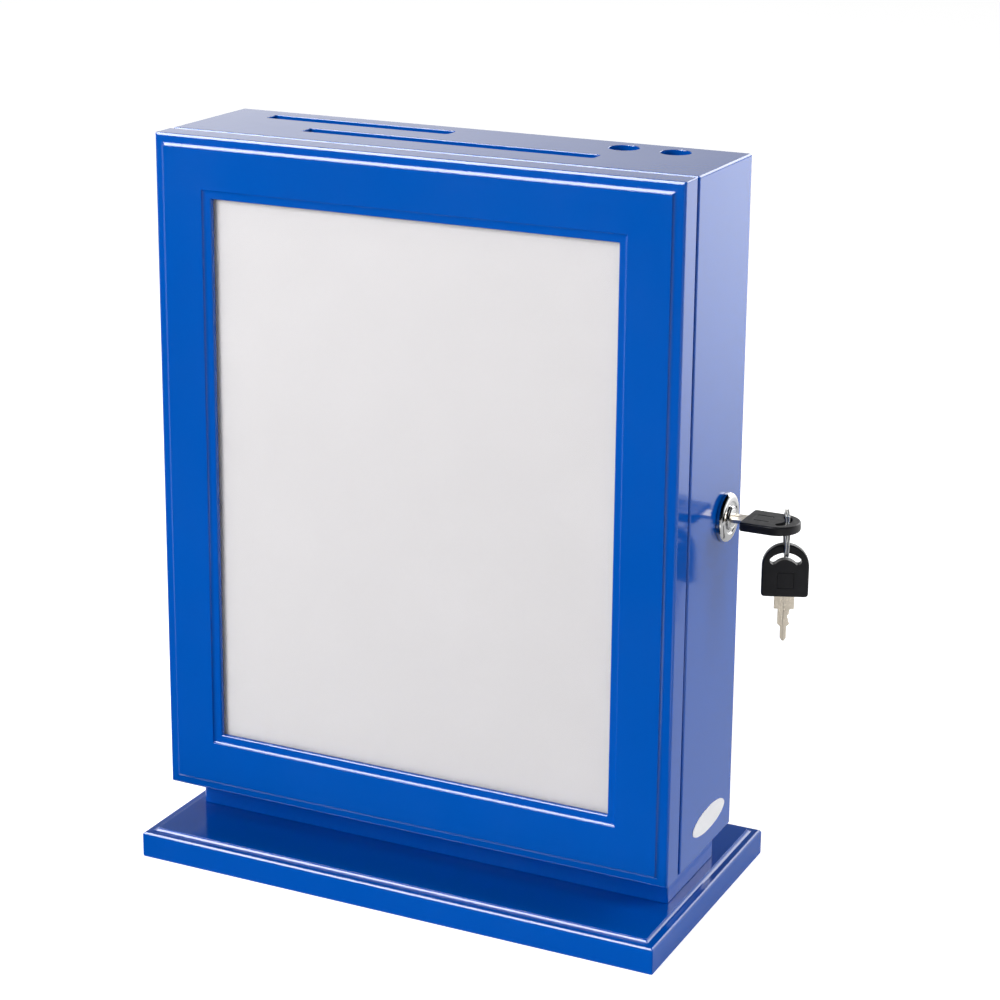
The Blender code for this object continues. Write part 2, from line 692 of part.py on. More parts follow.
def door_loop(half_width, half_height, middle, y):
    """A rectangle about a middle height, at depth y."""
    x, z = half_width, half_height
    return [(-x, y, middle - z), (x, y, middle - z), (x, y, middle + z), (-x, y, middle + z)]


def door_frame(door):
    """The door: a frame with a routed outer edge, a sunk band round its window and a rebate behind."""
    outer = [(BACK_EDGE_RADIUS, DOOR_BACK), (0, DOOR_BACK - BACK_EDGE_RADIUS)]
    outer += [(inset, DOOR_FRONT + depth) for inset, depth in moulded_edge()]
    hollow = [(BAND_WIDTH - COVE_WIDTH + along, COVE_DEPTH - rise) for along, rise in cove()]
    inner = [(out, DOOR_FRONT + depth) for out, depth in reversed(hollow)]
    inner += lip_points()
    inner.append((0, DOOR_FRONT + LIP_THICKNESS))
    loops = []
    for inset, y in outer:
        loops.append(door_loop(SIDE_X - inset, BOX_HEIGHT / 2 - inset, BOX_MIDDLE, y))
    for out, y in inner:
        loops.append(door_loop(WINDOW_HALF_WIDTH + out, WINDOW_HALF_HEIGHT + out, WINDOW_MIDDLE, y))
    for y in (DOOR_FRONT + LIP_THICKNESS, DOOR_BACK):
        loops.append(door_loop(REBATE_HALF_WIDTH, REBATE_HALF_HEIGHT, WINDOW_MIDDLE, y))
    return solid("door_frame", loft(loops, ring=True), BLUE_LACQUER, door)


def lip_points():
    """The small round between the sunk band and the lip's inner side."""
    points = []
    for out, rise in arc((0, 0), LIP_RADIUS, QUARTER, 0, SMALL_ARC_STEPS):
        points.append((LIP_RADIUS - out, DOOR_FRONT + COVE_DEPTH + LIP_RADIUS - rise))
    return points


def door_fill(door):
    """Clear window, sheet and backing board, laid in the rebate from behind."""
    front = DOOR_FRONT + LIP_THICKNESS + INSERT_GAP
    pieces = [
        ("window_panel", WINDOW_THICKNESS, CLEAR_PLASTIC),
        ("insert_sheet", SHEET_THICKNESS, CARD),
        ("backing_board", BACKING_THICKNESS, BARE_BOARD),
    ]
    x, z = REBATE_HALF_WIDTH - SHEET_PLAY, REBATE_HALF_HEIGHT - SHEET_PLAY
    for name, thickness, finish in pieces:
        low = (-x, front, WINDOW_MIDDLE - z)
        solid(name, box(low, (x, front + thickness, WINDOW_MIDDLE + z)), finish, door)
        front += thickness + INSERT_GAP


def clip_outline():
    """A turn clip seen from behind: round about its screw at (0, 0), with a tongue along +X."""
    pivot = arc((0, 0), CLIP_RADIUS, QUARTER, 3 * QUARTER, ARC_STEPS)
    end = CLIP_LENGTH - CLIP_RADIUS / 2
    tip = arc((end, -CLIP_RADIUS / 2), CLIP_RADIUS / 2, -QUARTER, 0, SMALL_ARC_STEPS)
    tip += arc((end, CLIP_RADIUS / 2), CLIP_RADIUS / 2, 0, QUARTER, SMALL_ARC_STEPS)
    return pivot + tip


def turn_clip(name, x, z, angle, door, frame):
    """A clip that turns on its pan-head screw and keeps the backing board in, with its tongue at an angle."""
    pivot = joint_empty(f"{name}_pivot", (x, DOOR_BACK, z), door)
    seat = DOOR_BACK + CLIP_SEAT
    turn = Matrix.Rotation(angle, 4, "Z")
    shape = moved(plate(clip_outline(), CLIP_THICKNESS), along_y(Vector((x, seat, z))) @ turn)
    clip = solid(name, shape, PLATED_STEEL, pivot)
    under = seat + CLIP_THICKNESS + CLIP_SEAT
    profile = [(0, -PIVOT_SCREW_LENGTH), (PIVOT_SCREW_SHANK, -PIVOT_SCREW_LENGTH), (PIVOT_SCREW_SHANK, 0)]
    profile += [(PIVOT_SCREW_HEAD, 0), (PIVOT_SCREW_HEAD, PIVOT_SCREW_HEAD_HEIGHT / 2)]
    profile += [(PIVOT_SCREW_HEAD / 2, PIVOT_SCREW_HEAD_HEIGHT), (0, PIVOT_SCREW_HEAD_HEIGHT)]
    matrix = along_y(Vector((x, under, z)))
    solid(f"{name}_screw", moved(lathe(profile, SCREW_SEGMENTS), matrix), PLATED_STEEL, door)
    radius = PIVOT_SCREW_SHANK + SCREW_CLEARANCE
    depth = PIVOT_SCREW_LENGTH + PILOT_SPARE
    profile = [(0, -depth), (radius, -depth), (radius, OVERRUN), (0, OVERRUN)]
    hole = cutter(f"{name}_hole", moved(lathe(profile, SCREW_SEGMENTS), matrix), door)
    combine(clip, hole)
    combine(frame, hole)


def turn_clips(door, frame):
    """Two clips on each stile and one on each rail, tongues inwards."""
    x = REBATE_HALF_WIDTH + CLIP_FROM_EDGE
    z = REBATE_HALF_HEIGHT + RAIL_CLIP_FROM_EDGE
    rise = STILE_CLIP_RISE
    turn_clip("clip_left_lower", -x, WINDOW_MIDDLE - rise, 0, door, frame)
    turn_clip("clip_left_upper", -x, WINDOW_MIDDLE + rise, 0, door, frame)
    turn_clip("clip_right_lower", x, WINDOW_MIDDLE - rise, math.pi, door, frame)
    turn_clip("clip_right_upper", x, WINDOW_MIDDLE + rise, math.pi, door, frame)
    turn_clip("clip_bottom", 0, WINDOW_MIDDLE - z, -QUARTER, door, frame)
    turn_clip("clip_top", 0, WINDOW_MIDDLE + z, QUARTER, door, frame)


def keeper_pin_place():
    """Centre of the keeper's pin in the YZ plane, where the turned cam's claw goes round it."""
    along = Vector((-math.cos(LOCK_TURN), -math.sin(LOCK_TURN)))
    aside = Vector((-math.sin(LOCK_TURN), math.cos(LOCK_TURN)))
    return Vector((LOCK_Y, LOCK_HEIGHT)) + along * KEEPER_PIN_ALONG + aside * KEEPER_PIN_ASIDE


def keeper(door, frame):
    """An angle bracket on the door's back whose ear carries the pin that the lock's cam hooks."""
    pin_y, pin_z = keeper_pin_place()
    ear_right = CAM_REAR - KEEPER_FROM_CAM
    ear_left = ear_right - KEEPER_THICKNESS
    front = DOOR_BACK + KEEPER_SEAT
    half = KEEPER_HEIGHT / 2
    low = (ear_left, front, pin_z - half)
    high = (ear_left + KEEPER_WIDTH, front + KEEPER_THICKNESS, pin_z + half)
    bracket = solid("keeper_bracket", box(low, high), PLATED_STEEL, door)
    round_end = arc((pin_y, pin_z), EAR_RADIUS, -QUARTER, QUARTER, ARC_STEPS)
    root = front + KEEPER_THICKNESS / 2
    outline = [(root, pin_z + EAR_RADIUS), (root, pin_z - EAR_RADIUS)] + round_end
    ear = loft([[(x, y, z) for y, z in outline] for x in (ear_left, ear_right)])
    combine(bracket, cutter("keeper_ear", ear, door), "UNION")

    radius = KEEPER_PIN_RADIUS
    end = CAM_FRONT + KEEPER_PIN_PROUD
    head = ear_left - KEEPER_PIN_PLAY
    start = head - KEEPER_PIN_HEAD_HEIGHT
    profile = [(0, 0), (KEEPER_PIN_HEAD, 0), (KEEPER_PIN_HEAD, head - start), (radius, head - start)]
    profile += [(radius, end - start), (0, end - start)]
    matrix = along_x(Vector((start, pin_y, pin_z)))
    solid("keeper_pin", moved(lathe(profile, ROUND_SEGMENTS), matrix), PLATED_STEEL, door)
    radius += KEEPER_PIN_PLAY
    profile = [(0, 0), (radius, 0), (radius, end - start), (0, end - start)]
    combine(bracket, cutter("keeper_pin_hole", moved(lathe(profile, ROUND_SEGMENTS), matrix), door))

    sizes = (SMALL_SCREW_HEAD, KEEPER_THICKNESS / 2, SMALL_SCREW_SHANK, SMALL_SCREW_LENGTH)
    x = (ear_left + ear_right + KEEPER_WIDTH) / 2
    for i, side in enumerate((-1, 1)):
        place = Vector((x, front + KEEPER_THICKNESS, pin_z + side * KEEPER_SCREW_PITCH / 2))
        sunk_screw(f"keeper_screw_{i + 1}", sizes, along_y(place), door)
        hole = sunk_hole(f"keeper_hole_{i + 1}", sizes, along_y(place), door)
        combine(bracket, hole)
        combine(frame, hole)


# Lock


def lock_housing():
    """The lock's fixed shell: a round barrel through the side and a dished flange on its face."""
    bore = PLUG_RADIUS + PLUG_PLAY
    top = FLANGE_HEIGHT
    profile = [(bore, BARREL_REAR - LOCK_FACE), (BARREL_RADIUS, BARREL_REAR - LOCK_FACE)]
    profile += [(BARREL_RADIUS, 0), (FLANGE_RADIUS, 0), (FLANGE_RADIUS, FLANGE_RIM)]
    for out, rise in arc((0, 0), 1, 0, QUARTER, SMALL_ARC_STEPS)[1:]:
        radius = FLANGE_FACE_RADIUS + (FLANGE_RADIUS - FLANGE_FACE_RADIUS) * out
        profile.append((radius, FLANGE_RIM + (top - FLANGE_RIM) * rise))
    profile += [(FLANGE_DISH_RADIUS, top), (FLANGE_DISH_RADIUS - FLANGE_DISH, top - FLANGE_DISH)]
    profile.append((bore, top - FLANGE_DISH))
    matrix = along_x(Vector((LOCK_FACE, LOCK_Y, LOCK_HEIGHT)))
    solid("lock_housing", moved(lathe(profile, FINE_SEGMENTS, ring=True), matrix), BRIGHT_CHROME)


def lock_nut():
    """The hexagonal nut that clamps the barrel from inside."""
    corner = NUT_ACROSS_FLATS / 2 / math.cos(math.pi / 6)
    start = INNER_X - NUT_CLEARANCE - NUT_THICKNESS
    matrix = along_x(Vector((start, LOCK_Y, LOCK_HEIGHT)))
    hexagon = [(corner * math.cos(a), corner * math.sin(a)) for a in (math.tau * i / 6 for i in range(6))]
    nut = solid("lock_nut", moved(plate(hexagon, NUT_THICKNESS), matrix), PLATED_STEEL)
    radius = BARREL_RADIUS + NUT_CLEARANCE
    reach = NUT_THICKNESS + OVERRUN
    profile = [(0, -OVERRUN), (radius, -OVERRUN), (radius, reach), (0, reach)]
    combine(nut, cutter("nut_bore_cutter", moved(lathe(profile, ROUND_SEGMENTS), matrix)))


def lock_plug(plug):
    """The turning core: round with a square tail, cut for the key and for the cam's screw."""
    front = PLUG_FACE - LOCK_AXIS.x
    rear = BARREL_REAR - LOCK_AXIS.x
    profile = [(0, rear), (PLUG_RADIUS, rear), (PLUG_RADIUS, front - PLUG_CHAMFER)]
    profile += [(PLUG_RADIUS - PLUG_CHAMFER, front), (0, front)]
    core = solid("lock_plug", moved(lathe(profile, ROUND_SEGMENTS), along_x(LOCK_AXIS, LOCK_TURN)), BRIGHT_CHROME, plug)
    turn = Matrix.Translation(LOCK_AXIS) @ Matrix.Rotation(LOCK_TURN, 4, "X")
    half = TAIL_SIZE / 2
    tail = box((TAIL_REAR - LOCK_AXIS.x, -half, -half), (rear + OVERRUN, half, half))
    combine(core, cutter("plug_tail", moved(tail, turn), plug), "UNION")
    thin = BLADE_THICKNESS / 2 + KEYWAY_CLEARANCE
    wide = BLADE_WIDTH / 2 + KEYWAY_CLEARANCE
    deep = KEY_SEAT - BLADE_LENGTH - KEYWAY_SPARE - LOCK_AXIS.x
    keyway = box((deep, -wide, -thin), (front + OVERRUN, wide, thin))
    combine(core, cutter("keyway_cutter", moved(keyway, turn), plug))
    radius = CAM_SCREW_SHANK + SCREW_CLEARANCE
    start = TAIL_REAR - LOCK_AXIS.x - OVERRUN
    depth = OVERRUN + CAM_SCREW_LENGTH
    profile = [(0, start), (radius, start), (radius, start + depth), (0, start + depth)]
    combine(core, cutter("cam_screw_hole", moved(lathe(profile, SCREW_SEGMENTS), along_x(LOCK_AXIS)), plug))


def cam_outline():
    """The cam in its own plane: hub at (0, 0), bar along +X and a claw that rises to +Y at its end."""
    half = CAM_HALF_WIDTH
    inner = CAM_REACH - CLAW_THICKNESS

    def level(radius, height):
        return math.asin(height / radius)

    outer_arc = arc((0, 0), CAM_REACH, level(CAM_REACH, -half), level(CAM_REACH, CLAW_RISE), ARC_STEPS)
    inner_arc = arc((0, 0), inner, level(inner, CLAW_RISE), level(inner, half), ARC_STEPS)
    hub_start = level(CAM_HUB_RADIUS, half)
    hub = arc((0, 0), CAM_HUB_RADIUS, hub_start, math.tau - hub_start, 2 * ARC_STEPS)
    return outer_arc + inner_arc + hub


def cam_matrix(x):
    """Carries the cam's plane to the lock: its bar hangs down and its claw faces the door at rest."""
    down = Matrix.Rotation(LOCK_TURN, 3, "X") @ Vector((0, 0, -1))
    to_door = Matrix.Rotation(LOCK_TURN, 3, "X") @ Vector((0, -1, 0))
    basis = Matrix((down, to_door, down.cross(to_door))).transposed().to_4x4()
    return Matrix.Translation((x, LOCK_Y, LOCK_HEIGHT)) @ basis


def lock_cam(plug):
    """The hooked cam on the plug's square tail, and its screw."""
    matrix = cam_matrix(CAM_FRONT)
    side = -1 if matrix.col[2].x > 0 else 1
    shape = plate(cam_outline(), side * CAM_THICKNESS)
    cam = solid("lock_cam", moved(shape, matrix), PLATED_STEEL, plug)
    half = TAIL_SIZE / 2 + TAIL_CLEARANCE
    hole = box((CAM_REAR - OVERRUN - LOCK_AXIS.x, -half, -half), (CAM_FRONT + OVERRUN - LOCK_AXIS.x, half, half))
    turn = Matrix.Translation(LOCK_AXIS) @ Matrix.Rotation(LOCK_TURN, 4, "X")
    combine(cam, cutter("cam_hole_cutter", moved(hole, turn), plug))
    under = min(CAM_REAR, TAIL_REAR) - TAIL_CLEARANCE - LOCK_AXIS.x
    profile = [(0, under - CAM_SCREW_HEAD_HEIGHT), (CAM_SCREW_HEAD, under - CAM_SCREW_HEAD_HEIGHT)]
    profile += [(CAM_SCREW_HEAD, under), (CAM_SCREW_SHANK, under)]
    end = TAIL_REAR - LOCK_AXIS.x + CAM_SCREW_LENGTH - OVERRUN
    profile += [(CAM_SCREW_SHANK, end), (0, end)]
    solid("cam_screw", moved(lathe(profile, SCREW_SEGMENTS), along_x(LOCK_AXIS)), PLATED_STEEL, plug)


# Keys and split ring


def bow_outline():
    """A key's bow: straight sides, a half round end along +X and small corners at x = 0."""
    half = BOW_WIDTH / 2
    low = arc((BOW_CORNER, -half + BOW_CORNER), BOW_CORNER, 2 * QUARTER, 3 * QUARTER, SMALL_ARC_STEPS)
    end = arc((BOW_LENGTH - half, 0), half, -QUARTER, QUARTER, 2 * ARC_STEPS)
    high = arc((BOW_CORNER, half - BOW_CORNER), BOW_CORNER, QUARTER, 2 * QUARTER, SMALL_ARC_STEPS)
    return low + end + high


def bow_slot_centre():
    """Centre of the arc that the bow's slot follows, along the key."""
    return BOW_LENGTH - BRIDGE_WIDTH - BOW_SLOT_WIDTH / 2 - BOW_SLOT_ARC


def bow_slot_outline():
    """The crescent slot: an arc of constant width with round ends."""
    half = BOW_SLOT_WIDTH / 2
    reach = math.asin((BOW_SLOT_SPAN / 2 - half) / BOW_SLOT_ARC)
    centre = (bow_slot_centre(), 0)
    points = arc(centre, BOW_SLOT_ARC + half, -reach, reach, ARC_STEPS)
    for side in (1, -1):
        end = (centre[0] + BOW_SLOT_ARC * math.cos(reach), side * BOW_SLOT_ARC * math.sin(reach))
        start = reach if side > 0 else math.pi - reach
        points += arc(end, half, start, start + math.pi, ARC_STEPS)[1:-1]
        if side > 0:
            points += arc(centre, BOW_SLOT_ARC - half, reach, -reach, ARC_STEPS)
    return points


def blade_outline():
    """The blade from its tang in the bow at +X, past its shoulders, to its tip at -X, with one cut side."""
    tang, shoulder, half = TANG_WIDTH / 2, SHOULDER_WIDTH / 2, BLADE_WIDTH / 2
    start, end = -SHOULDER_LENGTH, -SHOULDER_LENGTH - BLADE_LENGTH
    points = [(TANG_LENGTH, -tang), (TANG_LENGTH, tang), (0, tang), (0, shoulder), (start, shoulder)]
    points.append((start, half))
    step = (BLADE_LENGTH - BLADE_TIP) / (len(CUT_SHARES) + 1)
    for i, share in enumerate(CUT_SHARES):
        x = start - (i + 1) * step
        points.append((x + step / 4, half - CUT_DEPTH * share))
        points.append((x - step / 4, half - CUT_DEPTH * share))
    points += [(end + BLADE_TIP, half), (end, half - BLADE_TIP / 2), (end, -half + BLADE_TIP / 2)]
    points += [(end + BLADE_TIP, -half), (start, -half), (start, -shoulder), (0, -shoulder), (0, -tang)]
    return points


def key(prefix, matrix, parent):
    """A key: the plated blade, and the moulded bow round its tang. The matrix places the bow's start."""
    half = BLADE_THICKNESS / 2
    lower = Matrix.Translation((0, 0, -half))
    blade = plate(blade_outline(), BLADE_THICKNESS)
    solid(f"{prefix}_blade", moved(blade, matrix @ lower), NICKEL, parent)
    shape = plate(bow_outline(), BOW_THICKNESS)
    rims = [e for e in shape.edges if abs(e.verts[0].co.z - e.verts[1].co.z) < half]
    bmesh.ops.bevel(shape, geom=rims, offset=BOW_EDGE, segments=2, profile=0.5, affect="EDGES")
    lower = Matrix.Translation((0, 0, -BOW_THICKNESS / 2))
    bow = solid(f"{prefix}_bow", moved(shape, matrix @ lower), BLACK_PLASTIC, parent)
    slot = plate(bow_slot_outline(), BOW_THICKNESS + 2 * OVERRUN)
    lower = Matrix.Translation((0, 0, -BOW_THICKNESS / 2 - OVERRUN))
    combine(bow, cutter(f"{prefix}_slot_cutter", moved(slot, matrix @ lower), parent))
    wide = TANG_WIDTH / 2 + TANG_CLEARANCE
    thin = half + TANG_CLEARANCE
    pocket = box((-OVERRUN, -wide, -thin), (TANG_LENGTH + TANG_CLEARANCE, wide, thin))
    combine(bow, cutter(f"{prefix}_tang_cutter", moved(pocket, matrix), parent))


def key_matrix():
    """Carries a key to the lock: its length along X, its width across and the plate turned with the plug."""
    return Matrix.Translation((BOW_START, LOCK_Y, LOCK_HEIGHT)) @ Matrix.Rotation(LOCK_TURN, 4, "X")


def ring_frame():
    """World matrix of the split ring: origin at its centre, X along its plane, Y up and Z along its axis."""
    lean = math.asin((BOW_SLOT_SPAN / 2 - BOW_SLOT_WIDTH / 2) / BOW_SLOT_ARC) / 2
    along = Vector((-math.sin(lean), math.cos(lean), 0))
    out = Vector((math.cos(lean), math.sin(lean), 0))
    middle = Vector((bow_slot_centre(), 0, 0)) + out * (BOW_SLOT_ARC - RING_SLOT_SHIFT)
    inner = RING_OUTER_RADIUS - RING_WIRE_RADIAL
    slot_end, rim = bridge_span(middle, along)
    bridge = middle + along * (slot_end + rim) / 2
    half = (rim - slot_end) / 2 + RING_SIDE_ROOM
    drop = math.sqrt(inner**2 - half**2) - BOW_THICKNESS / 2 - RING_SEAT
    centre = key_matrix() @ (bridge - Vector((0, 0, drop)))
    flat = Vector((along.x, along.y * math.cos(LOCK_TURN), 0)).normalized()
    up = Vector((0, 0, 1))
    basis = Matrix((flat, up, flat.cross(up))).transposed().to_4x4()
    return Matrix.Translation(centre) @ basis


def bridge_span(middle, along):
    """How far from the middle, along the ring's plane, the bow's slot ends and its rim lies."""
    half = RING_PITCH / 2 + RING_WIRE_AXIAL / 2
    reach = BOW_SLOT_SPAN / 2 - BOW_SLOT_WIDTH / 2
    angle = math.asin(reach / BOW_SLOT_ARC)
    end = Vector((bow_slot_centre() + BOW_SLOT_ARC * math.cos(angle), reach, 0))
    side = Vector((along.y, -along.x, 0))
    spans = []
    for centre, radius, pick in (
        (end, BOW_SLOT_WIDTH / 2, min),
        (Vector((BOW_LENGTH - BOW_WIDTH / 2, 0, 0)), BOW_WIDTH / 2, max),
    ):
        reaches = []
        for shift in (-half, half):
            offset = centre - middle - side * shift
            across = offset.dot(side)
            reaches.append(offset.dot(along) + math.sqrt(radius**2 - across**2))
        spans.append(pick(reaches))
    return spans


def split_ring(ring, matrix):
    """A flat wire wound twice, with one crossing where the first turn climbs to the second."""
    outer, wire, axial = RING_OUTER_RADIUS, RING_WIRE_RADIAL, RING_WIRE_AXIAL
    soft = axial / 4
    section = [
        (outer - wire, -axial / 2 + soft),
        (outer - wire + soft, -axial / 2),
        (outer - soft, -axial / 2),
        (outer, -axial / 2 + soft),
        (outer, axial / 2 - soft),
        (outer - soft, axial / 2),
        (outer - wire + soft, axial / 2),
        (outer - wire, axial / 2 - soft),
    ]
    loops = []
    steps = 2 * FINE_SEGMENTS
    start, end = RING_END_ANGLE, 2 * math.tau - RING_END_ANGLE
    for i in range(steps + 1):
        angle = start + (end - start) * i / steps
        share = (angle - math.tau + RING_END_ANGLE) / (2 * RING_END_ANGLE)
        share = min(1, max(0, share))
        climb = RING_PITCH * (share * share * (3 - 2 * share) - 1 / 2)
        loops.append([(r * math.cos(angle), r * math.sin(angle), h + climb) for r, h in section])
    solid("split_ring", moved(loft(loops), matrix), PLATED_STEEL, ring)


def spare_key(spare, ring_matrix):
    """The second key, hanging with its bridge on the ring's lowest wire and its face across the ring."""
    inner = RING_OUTER_RADIUS - RING_WIRE_RADIAL
    rise = inner - math.sqrt(inner**2 - (BOW_THICKNESS / 2) ** 2)
    slot_top = -inner + rise + RING_SEAT
    bow_end = slot_top + BRIDGE_WIDTH
    across = ring_matrix.col[2].to_3d()
    up = Vector((0, 0, 1))
    basis = Matrix((up, across, up.cross(across))).transposed().to_4x4()
    place = ring_matrix.translation + up * (bow_end - BOW_LENGTH)
    key("spare_key", Matrix.Translation(place) @ basis, spare)


def clear_scene():
    """Empties the scene."""
    for thing in list(bpy.data.objects):
        bpy.data.objects.remove(thing)


def main():
    clear_scene()
    base = base_board()
    foot = plinth()
    bottom = bottom_panel()
    base_screws((base, foot, bottom))
    left = side_panel("side_panel_left", -1)
    right = side_panel("side_panel_right", 1)
    combine(right, lock_hole_cutter())
    top_panel()
    carcass_inside()

    door = joint_empty("door_hinge_axis", HINGE_AXIS)
    frame = door_frame(door)
    door_fill(door)
    hinge("upper", door, left, frame)
    hinge("lower", door, left, frame)
    turn_clips(door, frame)
    keeper(door, frame)

    lock_housing()
    lock_nut()
    plug = joint_empty("lock_axis", LOCK_AXIS)
    lock_plug(plug)
    lock_cam(plug)
    key_slide = joint_empty("key_slide", (BOW_START, LOCK_Y, LOCK_HEIGHT), plug)
    key("key", key_matrix(), key_slide)
    ring_matrix = ring_frame()
    ring = joint_empty("ring_swing", ring_matrix.translation, key_slide)
    split_ring(ring, ring_matrix)
    spare = joint_empty("spare_swing", ring_matrix.translation, ring)
    spare_key(spare, ring_matrix)


main()
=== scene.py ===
"""Looks of the suggestion box: a lacquered box with a framed front door, a cam lock, two keys and a ring.

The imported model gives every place. Pieces that need a finer surface are built here over their
solids, and the other solids get softened edges and a finish. Lengths are in metres.
"""

import json
import math

import bmesh
import bpy
from bpy.props import FloatProperty, FloatVectorProperty, PointerProperty
from mathutils import Matrix, Vector

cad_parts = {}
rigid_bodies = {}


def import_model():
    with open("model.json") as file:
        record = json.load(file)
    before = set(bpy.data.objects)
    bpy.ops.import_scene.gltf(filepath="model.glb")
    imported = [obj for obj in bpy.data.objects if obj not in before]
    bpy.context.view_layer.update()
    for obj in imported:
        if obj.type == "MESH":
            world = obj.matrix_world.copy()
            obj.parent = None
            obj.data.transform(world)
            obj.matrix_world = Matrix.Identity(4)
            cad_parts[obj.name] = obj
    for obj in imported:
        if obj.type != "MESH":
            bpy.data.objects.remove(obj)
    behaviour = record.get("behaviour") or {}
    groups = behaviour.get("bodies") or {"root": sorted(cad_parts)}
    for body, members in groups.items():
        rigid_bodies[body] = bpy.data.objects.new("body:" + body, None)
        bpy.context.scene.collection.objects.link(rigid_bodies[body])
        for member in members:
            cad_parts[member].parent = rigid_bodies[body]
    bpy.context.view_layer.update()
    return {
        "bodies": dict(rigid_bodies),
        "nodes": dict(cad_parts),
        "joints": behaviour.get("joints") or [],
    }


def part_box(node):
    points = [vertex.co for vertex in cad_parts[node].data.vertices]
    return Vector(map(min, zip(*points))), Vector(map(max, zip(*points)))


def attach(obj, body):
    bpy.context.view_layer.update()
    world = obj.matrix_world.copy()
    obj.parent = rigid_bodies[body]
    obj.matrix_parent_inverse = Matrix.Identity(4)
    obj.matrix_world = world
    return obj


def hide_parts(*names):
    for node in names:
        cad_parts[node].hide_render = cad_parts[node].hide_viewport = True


bl_info = {
    "name": "Suggestion Box",
    "version": (1, 0, 0),
    "blender": (4, 5, 0),
    "location": "View3D > Sidebar > Suggestion Box",
    "description": "Finishes, fine shapes and stage of a lockable suggestion box",
    "category": "Add Mesh",
}

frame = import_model()

MM = 0.001
QUARTER = math.pi / 2
TINY = 0.01 * MM

# Steps of a quarter turn, and of a whole turn on turned pieces
FINE_STEPS = 14
COVE_STEPS = 9
EDGE_STEPS = 5
TURN_STEPS = 96
SCREW_STEPS = 32

# Angle above which an edge shades sharp, and the distance that joins split corners
SHARP_ANGLE = math.radians(32)
WELD_DISTANCE = 0.002 * MM

# Longest share of a side that the round of one corner takes
CORNER_REACH_SHARE = 0.45

# Rounds of the crisp edges of boards, keeper, clips, and turned or milled metal
BOARD_EDGE = 0.3 * MM
KEEPER_EDGE = 0.15 * MM
CLIP_EDGE = 0.2 * MM
METAL_EDGE = 0.12 * MM


def screen(red, green, blue):
    """Scene-linear colour of three screen values from 0 to 255."""
    shares = [value / 255 for value in (red, green, blue)]
    return tuple(s / 12.92 if s <= 0.04045 else ((s + 0.055) / 1.055) ** 2.4 for s in shares)


def colour(name, description, default):
    """A colour that a user may change."""
    return FloatVectorProperty(
        name=name, description=description, subtype="COLOR", size=3, min=0.0, max=1.0, default=default
    )


def length(name, description, default):
    """A length that a user may change."""
    return FloatProperty(
        name=name, description=description, unit="LENGTH", precision=5, min=0.0, default=default
    )


def share(name, description, default):
    """A share from 0 to 1 that a user may change."""
    return FloatProperty(
        name=name, description=description, subtype="FACTOR", min=0.0, max=1.0, default=default
    )


def angle(name, description, degrees):
    """An angle that a user may change, given in degrees."""
    return FloatProperty(
        name=name, description=description, subtype="ANGLE", default=math.radians(degrees)
    )


def power(name, description, watts):
    """A lamp's power that a user may change."""
    return FloatProperty(name=name, description=description, unit="POWER", min=0.0, default=watts)


class SuggestionBoxFinishes(bpy.types.PropertyGroup):
    """Colours and gloss of the finishes."""

    lacquer: colour("Lacquer", "Blue lacquer of the box, the door and the base", screen(0, 86, 186))
    lacquer_roughness: share("Lacquer roughness", "How dull the blue lacquer is", 0.11)
    inner_lacquer: colour("Inner lacquer", "Thin lacquer of the boards inside", screen(0, 74, 165))
    sheet: colour("Sheet", "The sheet behind the window", screen(226, 223, 224))
    board: colour("Backing board", "Bare fibreboard behind the sheet", screen(150, 118, 84))
    chrome: colour("Chrome", "Polished plate of the lock", screen(196, 196, 196))
    steel: colour("Plated steel", "Zinc plate of hinges, clips, cam and screws", screen(182, 182, 178))
    nickel: colour("Nickel", "Nickel plate of the key blades", screen(214, 204, 188))
    black_plastic: colour("Black plastic", "Moulded bows of the keys", screen(26, 26, 29))
    label: colour("Label", "The bare oval label low on the right side", screen(250, 250, 252))


class SuggestionBoxMoulding(bpy.types.PropertyGroup):
    """Sizes of the routed edges and of the door's window."""

    edge_radius: length("Edge radius", "Round of the routed edge of door and base", 1.5 * MM)
    edge_ledge: length("Edge ledge", "Flat between the round and the cove", 2.0 * MM)
    cove_width: length("Cove width", "Width of the cove that the bit cuts beside a face", 2.0 * MM)
    cove_depth: length("Cove depth", "Depth of the cove under the face", 1.4 * MM)
    back_radius: length("Back edge radius", "Round of the door's rear and the base's lower edge", 0.8 * MM)
    arris: length("Arris", "Softening of every crisp lacquered edge", 0.25 * MM)
    corner: length("Corner", "Round of the mitred outer corners", 0.6 * MM)
    inner_corner: length("Inner corner", "Round of the window's corners", 0.3 * MM)
    band_width: length("Band width", "Width of the sunk band round the window", 4.4 * MM)
    lip_radius: length("Lip radius", "Round of the window's lip", 0.9 * MM)
    lip_thickness: length("Lip thickness", "Wood in front of the window", 3.5 * MM)
    stile: length("Stile", "Width of the door's upright members", 30.0 * MM)
    rail: length("Rail", "Width of the door's level members", 29.5 * MM)
    window_rise: length("Window rise", "How far the window's middle lies above the door's", 0.6 * MM)
    rebate_side: length("Side rebate", "How far the rebate reaches past the window sideways", 6.5 * MM)
    rebate_end: length("End rebate", "How far the rebate reaches past the window up and down", 7.75 * MM)
    panel: length("Panel", "Thickness of the box's walls", 12.0 * MM)
    panel_edge: length("Panel edge", "Round of the box's long edges", 1.1 * MM)
    slot_ease: length("Slot ease", "Round of the slots' upper edges", 0.4 * MM)
    slot_corner: length("Slot corner", "Round of the slots' corners seen from above", 1.5 * MM)


